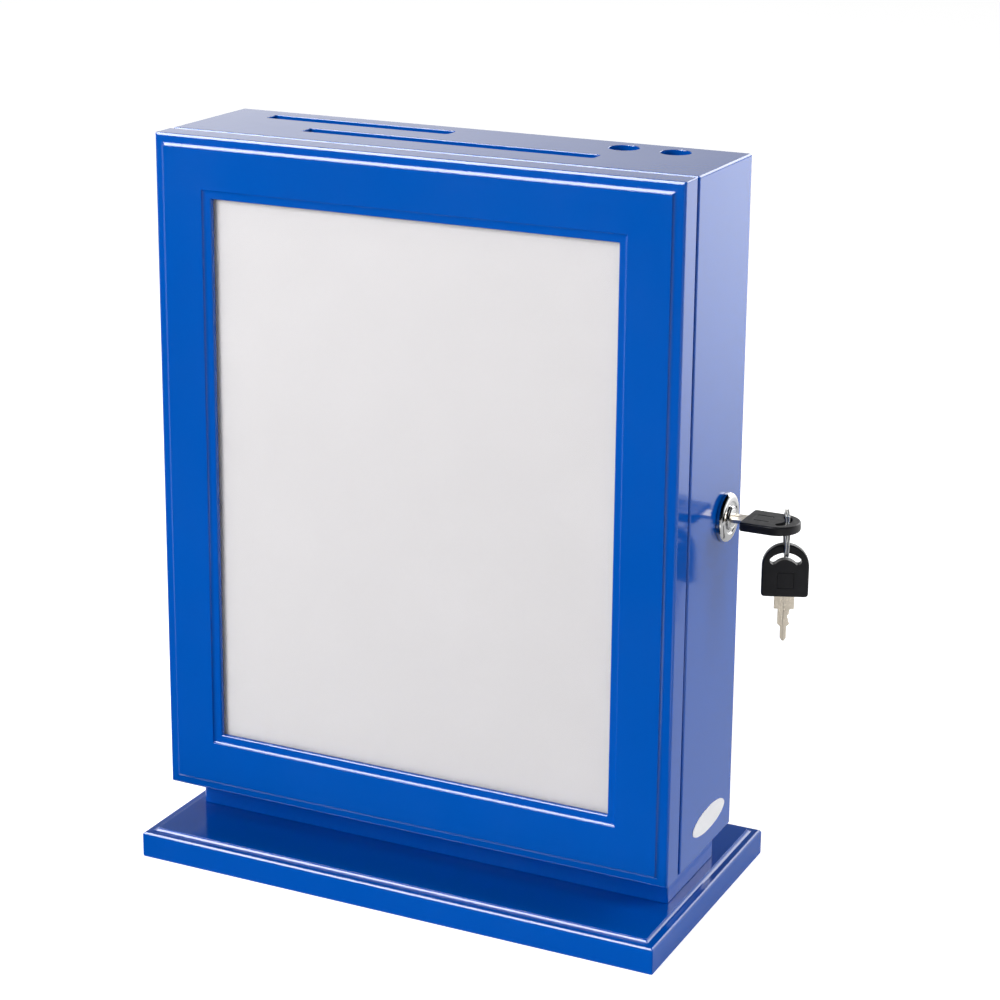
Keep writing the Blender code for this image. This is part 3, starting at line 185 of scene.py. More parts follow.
class SuggestionBoxStage(bpy.types.PropertyGroup):
    """The camera, the lamps and the light all round."""

    azimuth: angle("Azimuth", "Camera's turn to the right", 25.662)
    elevation: angle("Elevation", "Camera's height angle", 15.106)
    roll: angle("Roll", "Camera's lean", 0.504)
    distance: length("Distance", "From the camera to the point that it turns about", 1211.3 * MM)
    aim_right: length("Aim right", "How far the view's middle lies right of that point", 21.44 * MM)
    aim_up: length("Aim up", "How far the view's middle lies above that point", 42.18 * MM)
    lens: FloatProperty(name="Lens", description="Focal length", unit="CAMERA", min=1.0, default=92.34)
    shift: FloatProperty(name="Shift", description="Vertical shift of the view", default=-0.12)
    key_power: power("Front lamp", "Power of the lamp in front", 107.0)
    top_power: power("Top lamp", "Power of the lamp above", 1.0)
    side_power: power("Side lamp", "Power of the lamp at the right", 12.0)
    fill: FloatProperty(name="Fill", description="Strength of the light all round", default=0.17, min=0.0)


# Nodes of materials, the world and modifiers


def give(tree, socket, value):
    """Gives an input a value, or a link where the value is another node's output."""
    if isinstance(value, bpy.types.NodeSocket):
        tree.links.new(value, socket)
    else:
        socket.default_value = value


def set_up(tree, node, **settings):
    """Gives a node its settings. Each is a property of the node, or goes to the input of that name."""
    for name, value in settings.items():
        if hasattr(node, name):
            setattr(node, name, value)
        else:
            give(tree, node.inputs[name.replace("_", " ")], value)
    return node


def add_node(tree, kind, **settings):
    """A new node of a tree with its settings."""
    return set_up(tree, tree.nodes.new(kind), **settings)


def principled(name, base, roughness, metallic=0.0):
    """A material with a Principled shader of one colour, and its tree and shader."""
    made = bpy.data.materials.new(name)
    made.use_nodes = True
    made.diffuse_color = (*base, 1)
    tree = made.node_tree
    shader = tree.nodes["Principled BSDF"]
    set_up(tree, shader, Base_Color=(*base, 1), Roughness=roughness, Metallic=metallic)
    return made, tree, shader


def coordinates(tree, stretch=(1, 1, 1)):
    """Object coordinates, stretched along the axes."""
    source = add_node(tree, "ShaderNodeTexCoord").outputs["Object"]
    return add_node(tree, "ShaderNodeMapping", Vector=source, Scale=stretch).outputs["Vector"]


def noise(tree, vector, scale, detail=2.0, roughness=0.5):
    """A noise's value from 0 to 1."""
    settings = {"Vector": vector, "Scale": scale, "Detail": detail, "Roughness": roughness}
    return add_node(tree, "ShaderNodeTexNoise", **settings).outputs["Fac"]


def spread(tree, value, low, high, start=0.3, end=0.7):
    """Carries a value from start to end over to low to high."""
    ends = {"From_Min": start, "From_Max": end, "To_Min": low, "To_Max": high}
    return add_node(tree, "ShaderNodeMapRange", Value=value, **ends).outputs["Result"]


def relief(tree, shader, height, depth, strength=1.0):
    """Turns a height into a bump of a depth in metres."""
    bump = add_node(tree, "ShaderNodeBump", Height=height, Strength=strength, Distance=depth)
    set_up(tree, shader, Normal=bump.outputs["Normal"])


def toned(base, factor):
    """A colour made lighter or darker."""
    return tuple(min(1.0, part * factor) for part in base)


def clouded(tree, shader, height, base, dark, light):
    """Colours a surface between a darker and a lighter tone of its colour, by a height from 0 to 1."""
    tones = {"A": (*toned(base, dark), 1), "B": (*toned(base, light), 1)}
    mixed = add_node(tree, "ShaderNodeMix", data_type="RGBA", Factor=spread(tree, height, 0.0, 1.0), **tones)
    set_up(tree, shader, Base_Color=mixed.outputs["Result"])


def polished(tree, shader, height, low, high):
    """Varies a surface's roughness from low to high, by a height from 0 to 1."""
    set_up(tree, shader, Roughness=spread(tree, height, low, high))


# Materials


def lacquer(name, base, roughness, peel):
    """Sprayed lacquer: an even colour with faint clouds, and a fine orange peel in the gloss."""
    made, tree, shader = principled(name, base, roughness)
    place = coordinates(tree)
    clouded(tree, shader, noise(tree, place, scale=9.0, detail=3.0), base, dark=0.965, light=1.03)
    wiped = noise(tree, place, scale=34.0, detail=4.0)
    polished(tree, shader, wiped, low=roughness - 0.025, high=roughness + 0.035)
    relief(tree, shader, noise(tree, place, scale=420.0, detail=2.0), depth=peel, strength=0.35)
    set_up(tree, shader, IOR=1.5)
    return made


def paper(name, base):
    """Matt card with a faint tooth."""
    made, tree, shader = principled(name, base, 0.72)
    place = coordinates(tree)
    clouded(tree, shader, noise(tree, place, scale=22.0, detail=5.0), base, dark=0.985, light=1.01)
    polished(tree, shader, noise(tree, place, scale=160.0, detail=3.0), low=0.66, high=0.78)
    relief(tree, shader, noise(tree, place, scale=2600.0, detail=3.0), depth=0.03 * MM, strength=0.4)
    return made


def fibreboard(name, base):
    """Pressed hardboard: short fibres of several browns and a rough face."""
    made, tree, shader = principled(name, base, 0.8)
    place = coordinates(tree, stretch=(1.0, 1.0, 2.2))
    fibres = noise(tree, place, scale=620.0, detail=5.0, roughness=0.7)
    clouded(tree, shader, fibres, base, dark=0.62, light=1.28)
    polished(tree, shader, noise(tree, place, scale=240.0, detail=3.0), low=0.7, high=0.9)
    pressed = noise(tree, place, scale=900.0, detail=4.0, roughness=0.65)
    relief(tree, shader, pressed, depth=0.12 * MM, strength=0.6)
    return made


def plated(name, base, low, high, stretch, scale, depth):
    """Plated metal: fine rubbed lines in the gloss, and clouds of a darker tone."""
    made, tree, shader = principled(name, base, low, 1.0)
    tarnish = noise(tree, coordinates(tree), scale=130.0, detail=4.0)
    clouded(tree, shader, tarnish, base, dark=0.88, light=1.04)
    lines = noise(tree, coordinates(tree, stretch), scale, detail=4.0, roughness=0.6)
    polished(tree, shader, lines, low, high)
    relief(tree, shader, lines, depth, strength=0.5)
    return made


def moulded_plastic(name, base):
    """Satin moulded plastic with a fine spark-eroded grain."""
    made, tree, shader = principled(name, base, 0.4)
    set_up(tree, shader, Specular_IOR_Level=0.25)
    place = coordinates(tree)
    clouded(tree, shader, noise(tree, place, scale=90.0, detail=2.0), base, dark=0.9, light=1.1)
    polished(tree, shader, noise(tree, place, scale=300.0, detail=3.0), low=0.34, high=0.46)
    relief(tree, shader, noise(tree, place, scale=2400.0, detail=2.0), depth=0.03 * MM, strength=0.5)
    return made


def clear_acrylic(name, base):
    """A clear sheet with a gloss, and a painted reflection: its pale colour shows more where the sheet is
    seen at a flat angle.
    """
    made, tree, shader = principled(name, base, 0.05)
    polished(tree, shader, noise(tree, coordinates(tree), scale=26.0, detail=3.0), low=0.03, high=0.08)
    # Painted reflection: the Fresnel factor raises the opacity of the sheet's pale colour at flat angles
    mirror = add_node(tree, "ShaderNodeFresnel", IOR=1.49)
    painted_reflection = spread(tree, mirror.outputs["Fac"], low=0.02, high=0.6, start=0.04, end=0.6)
    set_up(tree, shader, Alpha=painted_reflection)
    return made


# Rubbed lines of each plate: roughness, stretch along the axes, scale and depth
CHROME_LINES = {"low": 0.06, "high": 0.14, "stretch": (1, 1, 1), "scale": 90.0, "depth": 0.004 * MM}
STEEL_LINES = {"low": 0.26, "high": 0.42, "stretch": (1, 1, 9), "scale": 420.0, "depth": 0.02 * MM}
NICKEL_LINES = {"low": 0.24, "high": 0.38, "stretch": (6, 1, 1), "scale": 500.0, "depth": 0.02 * MM}

# Roughness of the boards inside, and depth of the peel outside and inside
INNER_ROUGHNESS = 0.42
OUTER_PEEL = 0.025 * MM
INNER_PEEL = 0.06 * MM
# Pale colour of the clear panel, seen mostly as its painted reflection where it is viewed at a flat angle
PAINTED_REFLECTION_WHITE = screen(238, 240, 242)


def finishes():
    """All materials by name, made once."""
    look = bpy.context.scene.suggestion_box_finishes
    makers = {
        "blue_lacquer": (lacquer, look.lacquer, {"roughness": look.lacquer_roughness, "peel": OUTER_PEEL}),
        "inner_lacquer": (lacquer, look.inner_lacquer, {"roughness": INNER_ROUGHNESS, "peel": INNER_PEEL}),
        "sheet": (paper, look.sheet, {}),
        "bare_board": (fibreboard, look.board, {}),
        "bright_chrome": (plated, look.chrome, CHROME_LINES),
        "plated_steel": (plated, look.steel, STEEL_LINES),
        "nickel": (plated, look.nickel, NICKEL_LINES),
        "black_plastic": (moulded_plastic, look.black_plastic, {}),
        "clear_plastic": (clear_acrylic, PAINTED_REFLECTION_WHITE, {}),
        "label": (paper, look.label, {}),
    }
    made = {}
    for name, (maker, base, values) in makers.items():
        title = f"{name}_finish"
        made[name] = bpy.data.materials.get(title) or maker(title, base, **values)
    return made


# Mesh work


def lofted(loops, ring=False):
    """A closed shape through loops of equal length. Its ends are capped, or meet each other in a ring."""
    shape = bmesh.new()
    rows = [[shape.verts.new(point) for point in loop] for loop in loops]
    pairs = list(zip(rows, rows[1:]))
    if ring:
        pairs.append((rows[-1], rows[0]))
    else:
        shape.faces.new(rows[0])
        shape.faces.new(rows[-1])
    for low, high in pairs:
        for i in range(len(low)):
            j = (i + 1) % len(low)
            shape.faces.new((low[i], low[j], high[j], high[i]))
    bmesh.ops.recalc_face_normals(shape, faces=shape.faces)
    return shape


def turned(profile, steps, ring=False):
    """Turns (radius, height) points about Z. An open profile starts and ends on the axis."""
    shape = bmesh.new()
    rows = []
    for radius, height in profile:
        count = 1 if radius == 0 else steps
        turns = [math.tau * i / steps for i in range(count)]
        rows.append([shape.verts.new((radius * math.cos(a), radius * math.sin(a), height)) for a in turns])
    pairs = list(zip(rows, rows[1:]))
    if ring:
        pairs.append((rows[-1], rows[0]))
    for low, high in pairs:
        for i in range(steps):
            j = (i + 1) % steps
            corners = [low[i % len(low)], low[j % len(low)], high[j % len(high)], high[i % len(high)]]
            shape.faces.new(list(dict.fromkeys(corners)))
    bmesh.ops.recalc_face_normals(shape, faces=shape.faces)
    return shape


def moved(shape, matrix):
    """The shape, carried by a matrix."""
    bmesh.ops.transform(shape, matrix=matrix, verts=shape.verts)
    return shape


def block(low, high):
    """A block between two corners."""
    x0, y0, z0 = low
    x1, y1, z1 = high
    return lofted([[(x0, y0, z), (x1, y0, z), (x1, y1, z), (x0, y1, z)] for z in (z0, z1)])


def plate(outline, thickness, bottom=0.0):
    """An outline in the XY plane, extruded up from a height."""
    return lofted([[(x, y, z) for x, y in outline] for z in (bottom, bottom + thickness)])


def arc(centre, radius, start, end, steps):
    """Points of an arc in a plane, from one angle to another, both ends among them."""
    cx, cy = centre
    angles = [start + (end - start) * i / steps for i in range(steps + 1)]
    return [(cx + radius * math.cos(a), cy + radius * math.sin(a)) for a in angles]


def softened(points, radius, closed=False, steps=EDGE_STEPS, bend=math.radians(20)):
    """Rounds the corners of a line of (a, b) points that bend by more than an angle."""
    made = []
    count = len(points)
    for i, point in enumerate(points):
        here = Vector(point)
        before = Vector(points[i - 1])
        after = Vector(points[(i + 1) % count])
        at_end = not closed and i in (0, count - 1)
        if at_end or (here - before).angle(after - here) < bend:
            made.append(tuple(here))
            continue
        reach = min(radius, *(CORNER_REACH_SHARE * side.length for side in (here - before, after - here)))
        start = here + (before - here).normalized() * reach
        end = here + (after - here).normalized() * reach
        for k in range(steps + 1):
            t = k / steps
            made.append(tuple(start * (1 - t) ** 2 + here * (2 * t * (1 - t)) + end * t**2))
    return made


def rounded_rectangle(half_a, half_b, corner, steps=EDGE_STEPS):
    """A rectangle about (0, 0) with round corners, anticlockwise."""
    points = []
    for a, b, start in ((1, -1, -QUARTER), (1, 1, 0), (-1, 1, QUARTER), (-1, -1, 2 * QUARTER)):
        centre = (a * (half_a - corner), b * (half_b - corner))
        points += arc(centre, corner, start, start + QUARTER, steps)
    return points


def shaded(mesh):
    """Smooth shading that stops at crisp edges."""
    mesh.shade_smooth()
    mesh.set_sharp_from_angle(angle=SHARP_ANGLE)


def thing(name, shape):
    """An object in the scene made of a shape."""
    mesh = bpy.data.meshes.new(name)
    shape.to_mesh(mesh)
    shape.free()
    made = bpy.data.objects.new(name, mesh)
    bpy.context.scene.collection.objects.link(made)
    return made


def applied(made):
    """The object with its modifiers worked into its mesh."""
    graph = bpy.context.evaluated_depsgraph_get()
    mesh = bpy.data.meshes.new_from_object(made.evaluated_get(graph))
    made.modifiers.clear()
    made.data = mesh
    return made


def combined(made, shapes, operation="DIFFERENCE"):
    """The object, cut by shapes or joined with them."""
    helpers = []
    for i, shape in enumerate(shapes):
        helper = thing(f"{made.name}_helper_{i}", shape)
        step = made.modifiers.new(helper.name, "BOOLEAN")
        step.operation = operation
        step.solver = "EXACT"
        step.object = helper
        helpers.append(helper)
    applied(made)
    for helper in helpers:
        bpy.data.objects.remove(helper)
    return made


def softened_edges(made, width, steps=3, degrees=40):
    """Rounds the crisp edges of an object by a modifier."""
    edge = made.modifiers.new("soft_edges", "BEVEL")
    edge.width = width
    edge.segments = steps
    edge.limit_method = "ANGLE"
    edge.angle_limit = math.radians(degrees)
    edge.use_clamp_overlap = True
    edge.miter_outer = "MITER_ARC"
    return made


def finished(made, slot, body, replaced=(), finish=None):
    """Gives a piece its material, body and slot, and hides the solids that it stands for."""
    made.data.materials.clear()
    made.data.materials.append(finishes()[finish or slot])
    shaded(made.data)
    if not any(step.type == "BEVEL" for step in made.modifiers):
        made.modifiers.new("even_faces", "WEIGHTED_NORMAL").keep_sharp = True
    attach(made, body)
    if replaced:
        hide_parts(*replaced)
    return made


def welded_and_smooth():
    """A modifier's node group: joins split corners, and shades smooth up to an angle."""
    name = "welded_and_smooth"
    group = bpy.data.node_groups.get(name)
    if group:
        return group
    group = bpy.data.node_groups.new(name, "GeometryNodeTree")
    group.interface.new_socket("Geometry", in_out="INPUT", socket_type="NodeSocketGeometry")
    group.interface.new_socket("Geometry", in_out="OUTPUT", socket_type="NodeSocketGeometry")
    shape = add_node(group, "NodeGroupInput").outputs[0]
    bend = add_node(group, "GeometryNodeInputMeshEdgeAngle").outputs["Unsigned Angle"]
    soft = add_node(
        group, "FunctionNodeCompare", data_type="FLOAT", operation="LESS_THAN", A=bend, B=SHARP_ANGLE
    )
    steps = (
        ("GeometryNodeRemoveAttribute", {"Name": "custom_normal"}),
        ("GeometryNodeMergeByDistance", {"Distance": WELD_DISTANCE}),
        ("GeometryNodeSetShadeSmooth", {"domain": "FACE"}),
        ("GeometryNodeSetShadeSmooth", {"domain": "EDGE", "Shade_Smooth": soft.outputs["Result"]}),
    )
    for kind, settings in steps:
        shape = add_node(group, kind, Geometry=shape, **settings).outputs[0]
    add_node(group, "NodeGroupOutput", Geometry=shape)
    return group


def dressed(names, slot, width):
    """Gives solids that stay their finish, and rounds their edges by modifiers."""
    for name in names:
        node = frame["nodes"][name]
        node.modifiers.new("welded_and_smooth", "NODES").node_group = welded_and_smooth()
        softened_edges(node, width, steps=2, degrees=35)
        node.modifiers.new("even_faces", "WEIGHTED_NORMAL").keep_sharp = True
        for place in node.material_slots:
            place.material = finishes()[slot]


def axis_matrix(place, out):
    """Carries local Z to a direction, and the origin to a place."""
    return Matrix.Translation(place) @ Vector(out).to_track_quat("Z", "Y").to_matrix().to_4x4()


def along_x(place):
    """Carries local Z to world X, local X to world -Z and local Y to world Y, and the origin to a place."""
    return Matrix.Translation(place) @ Matrix(((0, 0, 1), (0, 1, 0), (-1, 0, 0))).to_4x4()


# Screws

# Recess of the cross: its span, width, least depth and taper as shares of the head's radius, and its
# depth as a share of the head's height
RECESS_SPAN_SHARE = 0.62
RECESS_WIDTH_SHARE = 0.2
RECESS_LEAST_DEPTH_SHARE = 0.3
RECESS_TAPER_SHARE = 0.55
RECESS_DEPTH_SHARE = 0.5

# Flat of a sunk head as a share of its radius, and the fall of its edge
HEAD_FLAT_SHARE = 0.96
HEAD_FALL_SHARE = 0.05
DOME_STEPS = 8

# Thread: pitch and root as shares of the shank's radius, and a turn's root and crest as shares of the pitch
THREAD_PITCH_SHARE = 0.9
THREAD_ROOT_SHARE = 0.78
TIP_ROOT_SHARE = 0.72
ROOT_PLACE_SHARE = 0.3
CREST_PLACE_SHARE = 0.65

# Play round a screw in the wood that it holds
HOLE_PLAY = 0.12 * MM

# Head's height, shank's radius and whether the head is domed, by how the node's name starts
SMALL_SCREW = (0.75 * MM, 0.9 * MM, False)
SCREW_KINDS = {
    "base_": (3.0 * MM, 2.0 * MM, False),
    "upper_": SMALL_SCREW,
    "lower_": SMALL_SCREW,
    "keeper_": SMALL_SCREW,
    "clip_": (1.2 * MM, 1.2 * MM, True),
    "cam_": (1.4 * MM, 1.5 * MM, True),
}


def screw_measures(node, out):
    """Head's face centre and radius, and the whole length, of a screw's solid whose head faces out."""
    low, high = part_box(node)
    centre, half = (low + high) / 2, (high - low) / 2
    axis = max(range(3), key=lambda i: abs(out[i]))
    radius = max(half[i] for i in range(3) if i != axis)
    return centre + Vector(out) * half[axis], radius, 2 * half[axis]


def screw_kind(node):
    """Head's height, shank's radius and whether the head is domed."""
    return next(kind for start, kind in SCREW_KINDS.items() if node.startswith(start))


def screw_hole(node, out):
    """The countersunk hole of a screw, through whatever it holds."""
    face, radius, span = screw_measures(node, out)
    head, shank, _ = screw_kind(node)
    narrow, wide = shank + HOLE_PLAY, radius + HOLE_PLAY
    profile = [(0, span), (wide, span), (wide, 0), (narrow, -head), (narrow, -span), (0, -span)]
    return moved(turned(profile, SCREW_STEPS), axis_matrix(face, out))


def base_screw_holes():
    """The holes of the screws that come up through the base board."""
    return [screw_hole(name, BASE_SCREW_OUT) for name in BASE_SCREWS]


def cross_outline(reach, half):
    """A cross with arms of a reach and a half width."""
    points = []
    for turn in range(4):
        c, s = round(math.cos(turn * QUARTER)), round(math.sin(turn * QUARTER))
        points += [(x * c - y * s, x * s + y * c) for x, y in ((reach, -half), (reach, half), (half, half))]
    return points


def cross_recess(radius, depth):
    """A cross-shaped cutter that narrows downwards from z = 0."""
    outline = cross_outline(radius * RECESS_SPAN_SHARE, radius * RECESS_WIDTH_SHARE / 2)
    rise = radius / 2
    slope = (1 - RECESS_TAPER_SHARE) / depth
    levels = [(-depth, RECESS_TAPER_SHARE), (rise, 1 + slope * rise)]
    return lofted([[(x * k, y * k, z) for x, y in outline] for z, k in levels])


def make_screw(node, out, body):
    """A screw with a cross recess, in place of its solid."""
    face, radius, span = screw_measures(node, out)
    head, shank, domed = screw_kind(node)
    if domed:
        dome = [(radius * across, head * (up - 1)) for across, up in arc((0, 0), 1, QUARTER, 0, DOME_STEPS)]
        profile = [(0, 0), *dome[1:], (shank, -head)]
    else:
        profile = [(0, 0), (radius * HEAD_FLAT_SHARE, 0), (radius, -radius * HEAD_FALL_SHARE), (shank, -head)]
    tip = span - shank
    pitch = shank * THREAD_PITCH_SHARE
    for i in range(max(1, int((tip - head) / pitch))):
        z = -head - i * pitch
        profile.append((shank * THREAD_ROOT_SHARE, z - pitch * ROOT_PLACE_SHARE))
        profile.append((shank, z - pitch * CREST_PLACE_SHARE))
    profile += [(shank * TIP_ROOT_SHARE, -tip), (0, -span)]
    made = thing(f"{node}_cross_head", moved(turned(profile, SCREW_STEPS), axis_matrix(face, out)))
    depth = max(head * RECESS_DEPTH_SHARE, radius * RECESS_LEAST_DEPTH_SHARE)
    combined(made, [moved(cross_recess(radius, depth), axis_matrix(face, out))])
    return finished(made, "plated_steel", body, [node])


# Base and box

# Screws that come up through the base board, and the way that their heads face
BASE_SCREWS = [f"base_screw_{i + 1}" for i in range(4)]
BASE_SCREW_OUT = (0, 0, -1)

# Panels that the lacquered shell stands for
SHELL_PANELS = ("top_panel", "bottom_panel", "side_panel_left", "side_panel_right")

# Places of the slots and pen holes in the top, and their sizes
NOTE_SLOT = (0, -8.5 * MM)
NOTE_SLOT_LENGTH = 148 * MM
CARD_SLOT = (-59 * MM, 16.5 * MM)
CARD_SLOT_LENGTH = 97 * MM
SLOT_WIDTH = 9 * MM
FIRST_PEN_HOLE = (76 * MM, 17.5 * MM)
SECOND_PEN_HOLE = (101 * MM, 17.5 * MM)
PEN_HOLE_DIAMETER = 14 * MM


def moulded_edge(sizes):
    """The routed edge as (inset from the side, depth below the face) points, from side to face."""
    radius, depth = sizes.edge_radius, sizes.cove_depth
    points = [(radius - dx, radius + depth - dy) for dx, dy in arc((0, 0), radius, 0, QUARTER, FINE_STEPS)]
    ledge = radius + sizes.edge_ledge
    points += [(ledge + along, depth - rise) for along, rise in cove(sizes)]
    points.append((ledge + sizes.cove_width + 3 * sizes.arris, 0))
    return softened(points, sizes.arris)


def cove(sizes):
    """The hollow between a ledge and the face above it, as (along the ledge, rise) points upwards."""
    quarter = arc((0, 0), 1, -QUARTER, 0, COVE_STEPS)
    return [(sizes.cove_width * along, sizes.cove_depth * (1 + up)) for along, up in quarter]


def back_edge(sizes):
    """The small round at the rear or lower edge as (inset, height above the back) points."""
    radius = sizes.back_radius
    return arc((radius, radius), radius, 3 * QUARTER, 2 * QUARTER, EDGE_STEPS)


def make_base_board(sizes):
    """The base: one board with the routed edge round its top."""
    low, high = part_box("base_board")
    half_x, half_y = (high.x - low.x) / 2, (high.y - low.y) / 2
    levels = [(inset, low.z + rise) for inset, rise in back_edge(sizes)]
    levels += [(inset, high.z - depth) for inset, depth in moulded_edge(sizes)]
    loops = []
    for inset, z in levels:
        outline = rounded_rectangle(half_x - inset, half_y - inset, sizes.corner)
        loops.append([(x, y, z) for x, y in outline])
    board = thing("routed_base", lofted(loops))
    combined(board, base_screw_holes())
    return finished(board, "blue_lacquer", "box", ["base_board"])


def make_shell(sizes):
    """The box without its door and back: one lacquered shell with slots, pen holes and the lock's hole."""
    panels = [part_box(name) for name in SHELL_PANELS]
    low = Vector([min(box[0][i] for box in panels) for i in range(3)])
    high = Vector([max(box[1][i] for box in panels) for i in range(3)])
    shape = block(low, high)
    bmesh.ops.bevel(
        shape, geom=shape.edges[:], offset=sizes.panel_edge, segments=EDGE_STEPS, profile=0.5, affect="EDGES"
    )
    shell = thing("box_shell", shape)
    wall = sizes.panel
    cavity = block(low + Vector((wall, -wall, wall)), high + Vector((-wall, wall, -wall)))
    combined(shell, [cavity, lock_hole(high, wall), *slot_cutters(high.z, sizes), *base_screw_holes()])
    softened_edges(shell, sizes.arris, steps=2, degrees=60)
    return finished(applied(shell), "blue_lacquer", "box", SHELL_PANELS)


def lock_hole(high, wall):
    """Cuts the barrel's hole through the right side."""
    radius = LOCK_BARREL_RADIUS + LOCK_HOLE_PLAY
    profile = [(0, 0), (radius, 0), (radius, 3 * wall), (0, 3 * wall)]
    place = lock_middle()
    place.x = high.x - 2 * wall
    return moved(turned(profile, TURN_STEPS), along_x(place))


def slot_cutters(top, sizes):
    """Cutters of the two slots and the two pen holes, with eased upper edges."""
    wall, ease, pen = sizes.panel, sizes.slot_ease, PEN_HOLE_DIAMETER / 2
    holes = [
        (NOTE_SLOT, NOTE_SLOT_LENGTH / 2, SLOT_WIDTH / 2, sizes.slot_corner),
        (CARD_SLOT, CARD_SLOT_LENGTH / 2, SLOT_WIDTH / 2, sizes.slot_corner),
        (FIRST_PEN_HOLE, pen + TINY, pen + TINY, pen),
        (SECOND_PEN_HOLE, pen + TINY, pen + TINY, pen),
    ]
    levels = [(0, top - 2 * wall)]
    for inset, rise in arc((0, 0), ease, 0, QUARTER, 2 * EDGE_STEPS):
        levels.append((ease - inset, top - ease + rise))
    levels.append((ease, top + wall))
    shapes = []
    for (cx, cy), half_x, half_y, corner in holes:
        loops = []
        for grow, z in levels:
            outline = rounded_rectangle(half_x + grow, half_y + grow, corner + grow, 2 * EDGE_STEPS)
            loops.append([(cx + x, cy + y, z) for x, y in outline])
        shapes.append(lofted(loops))
    return shapes


# Door and window

# Turn clips that hold the layers in the rebate
CLIP_PLACES = ("bottom", "left_lower", "left_upper", "right_lower", "right_upper", "top")
CLIPS = [f"clip_{place}" for place in CLIP_PLACES]

# Thickness of the clear panel and the sheet, the gap between layers, and the round of their edges
PANEL_THICKNESS = 1.5 * MM
SHEET_THICKNESS = 0.4 * MM
LAYER_GAP = 0.15 * MM
LAYER_EDGE = 0.05 * MM

# Bend above which a corner of the window's edge is rounded
WINDOW_EDGE_BEND = math.radians(25)


def window_edge(sizes):
    """From the face inwards to the lip's back, as (distance outside the window, depth below the face)."""
    width, depth = sizes.band_width, sizes.cove_depth
    points = [(width + 3 * sizes.arris, 0)]
    for along, rise in reversed(cove(sizes)):
        points.append((width - sizes.cove_width + along, depth - rise))
    for out, rise in arc((0, 0), sizes.lip_radius, QUARTER, 0, EDGE_STEPS):
        points.append((sizes.lip_radius - out, depth + sizes.lip_radius - rise))
    points.append((0, sizes.lip_thickness))
    return softened(points, sizes.arris, bend=WINDOW_EDGE_BEND)


def door_loop(half_x, half_z, corner, middle, y):
    """A rectangle with round corners in the door's plane, about a height."""
    return [(x, y, middle + z) for x, z in rounded_rectangle(half_x, half_z, corner)]


def make_door(sizes):
    """The door: a frame with a routed outer edge, a sunk band round the window and a rebate behind."""
    low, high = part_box("door_frame")
    middle = (low.z + high.z) / 2
    half_x, half_z = (high.x - low.x) / 2, (high.z - low.z) / 2
    window_x, window_z = half_x - sizes.stile, half_z - sizes.rail
    outside = [(inset, high.y - rise) for inset, rise in back_edge(sizes)]
    outside += [(inset, low.y + depth) for inset, depth in moulded_edge(sizes)]
    inside = [(out, out, low.y + depth) for out, depth in window_edge(sizes)]
    inside += [(sizes.rebate_side, sizes.rebate_end, y) for y in (low.y + sizes.lip_thickness, high.y)]
    loops = [door_loop(half_x - inset, half_z - inset, sizes.corner, middle, y) for inset, y in outside]
    middle += sizes.window_rise
    for aside, along, y in inside:
        loops.append(door_loop(window_x + aside, window_z + along, sizes.inner_corner, middle, y))
    door = thing("moulded_door", lofted(loops, ring=True))
    return finished(door, "blue_lacquer", "door", ["door_frame"])


def make_window(sizes):
    """The clear panel close behind the lip, the sheet, and the board that fills the rest of the rebate."""
    low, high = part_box("backing_board")
    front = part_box("door_frame")[0].y + sizes.lip_thickness + LAYER_GAP
    sheet_front = front + PANEL_THICKNESS + LAYER_GAP
    board_front = sheet_front + SHEET_THICKNESS + LAYER_GAP
    layers = (
        ("window_panel", "clear_plastic", front, front + PANEL_THICKNESS),
        ("insert_sheet", "sheet", sheet_front, sheet_front + SHEET_THICKNESS),
        ("backing_board", "bare_board", board_front, high.y),
    )
    for node, slot, start, end in layers:
        layer = thing(f"front_{node}", block((low.x, start, low.z), (high.x, end, high.z)))
        softened_edges(layer, LAYER_EDGE, steps=2)
        finished(applied(layer), slot, "door", [node])


# Lock and keys

# Lock: barrel, flange with its dished face, plug with its square tail, and the hole of the cam's screw
LOCK_BARREL_RADIUS = 8.5 * MM
LOCK_HOLE_PLAY = 0.3 * MM
FLANGE_RADIUS = 11.5 * MM
FLANGE_RIM = 1.2 * MM
FLANGE_HEIGHT = 3.2 * MM
FLANGE_FACE_RADIUS = 9.0 * MM
FLANGE_DISH_RADIUS = 7.6 * MM
FLANGE_DISH = 0.5 * MM
PLUG_RADIUS = 5.6 * MM
PLUG_PLAY = 0.1 * MM
PLUG_CHAMFER = 0.5 * MM
PLUG_GROOVE = 0.3 * MM
TAIL_SIZE = 6 * MM
TAIL_LENGTH = 2.6 * MM
KEY_PLAY = 0.2 * MM
KEY_DEPTH = 15.8 * MM
CAM_SCREW_HOLE = 1.65 * MM
CAM_SCREW_DEPTH = 4 * MM

# Key's bow: its outline, its crescent slot and the sunk line round its middle
BOW_WIDTH = 21.5 * MM
BOW_LENGTH = 25.3 * MM
BOW_THICKNESS = 4.2 * MM
BOW_CORNER = 1.5 * MM
BOW_EDGE = 0.75 * MM
BRIDGE_WIDTH = 4.0 * MM
BOW_SLOT_SPAN = 14.6 * MM
BOW_SLOT_WIDTH = 3.4 * MM
BOW_SLOT_ARC = 8 * MM
PANEL_SIZE = 8 * MM
PANEL_GROOVE = 0.5 * MM
PANEL_DEPTH = 0.2 * MM
PANEL_FROM_START = 8.0 * MM
PANEL_CORNER_SHARE = 0.2
BOW_EDGE_STEPS = 4

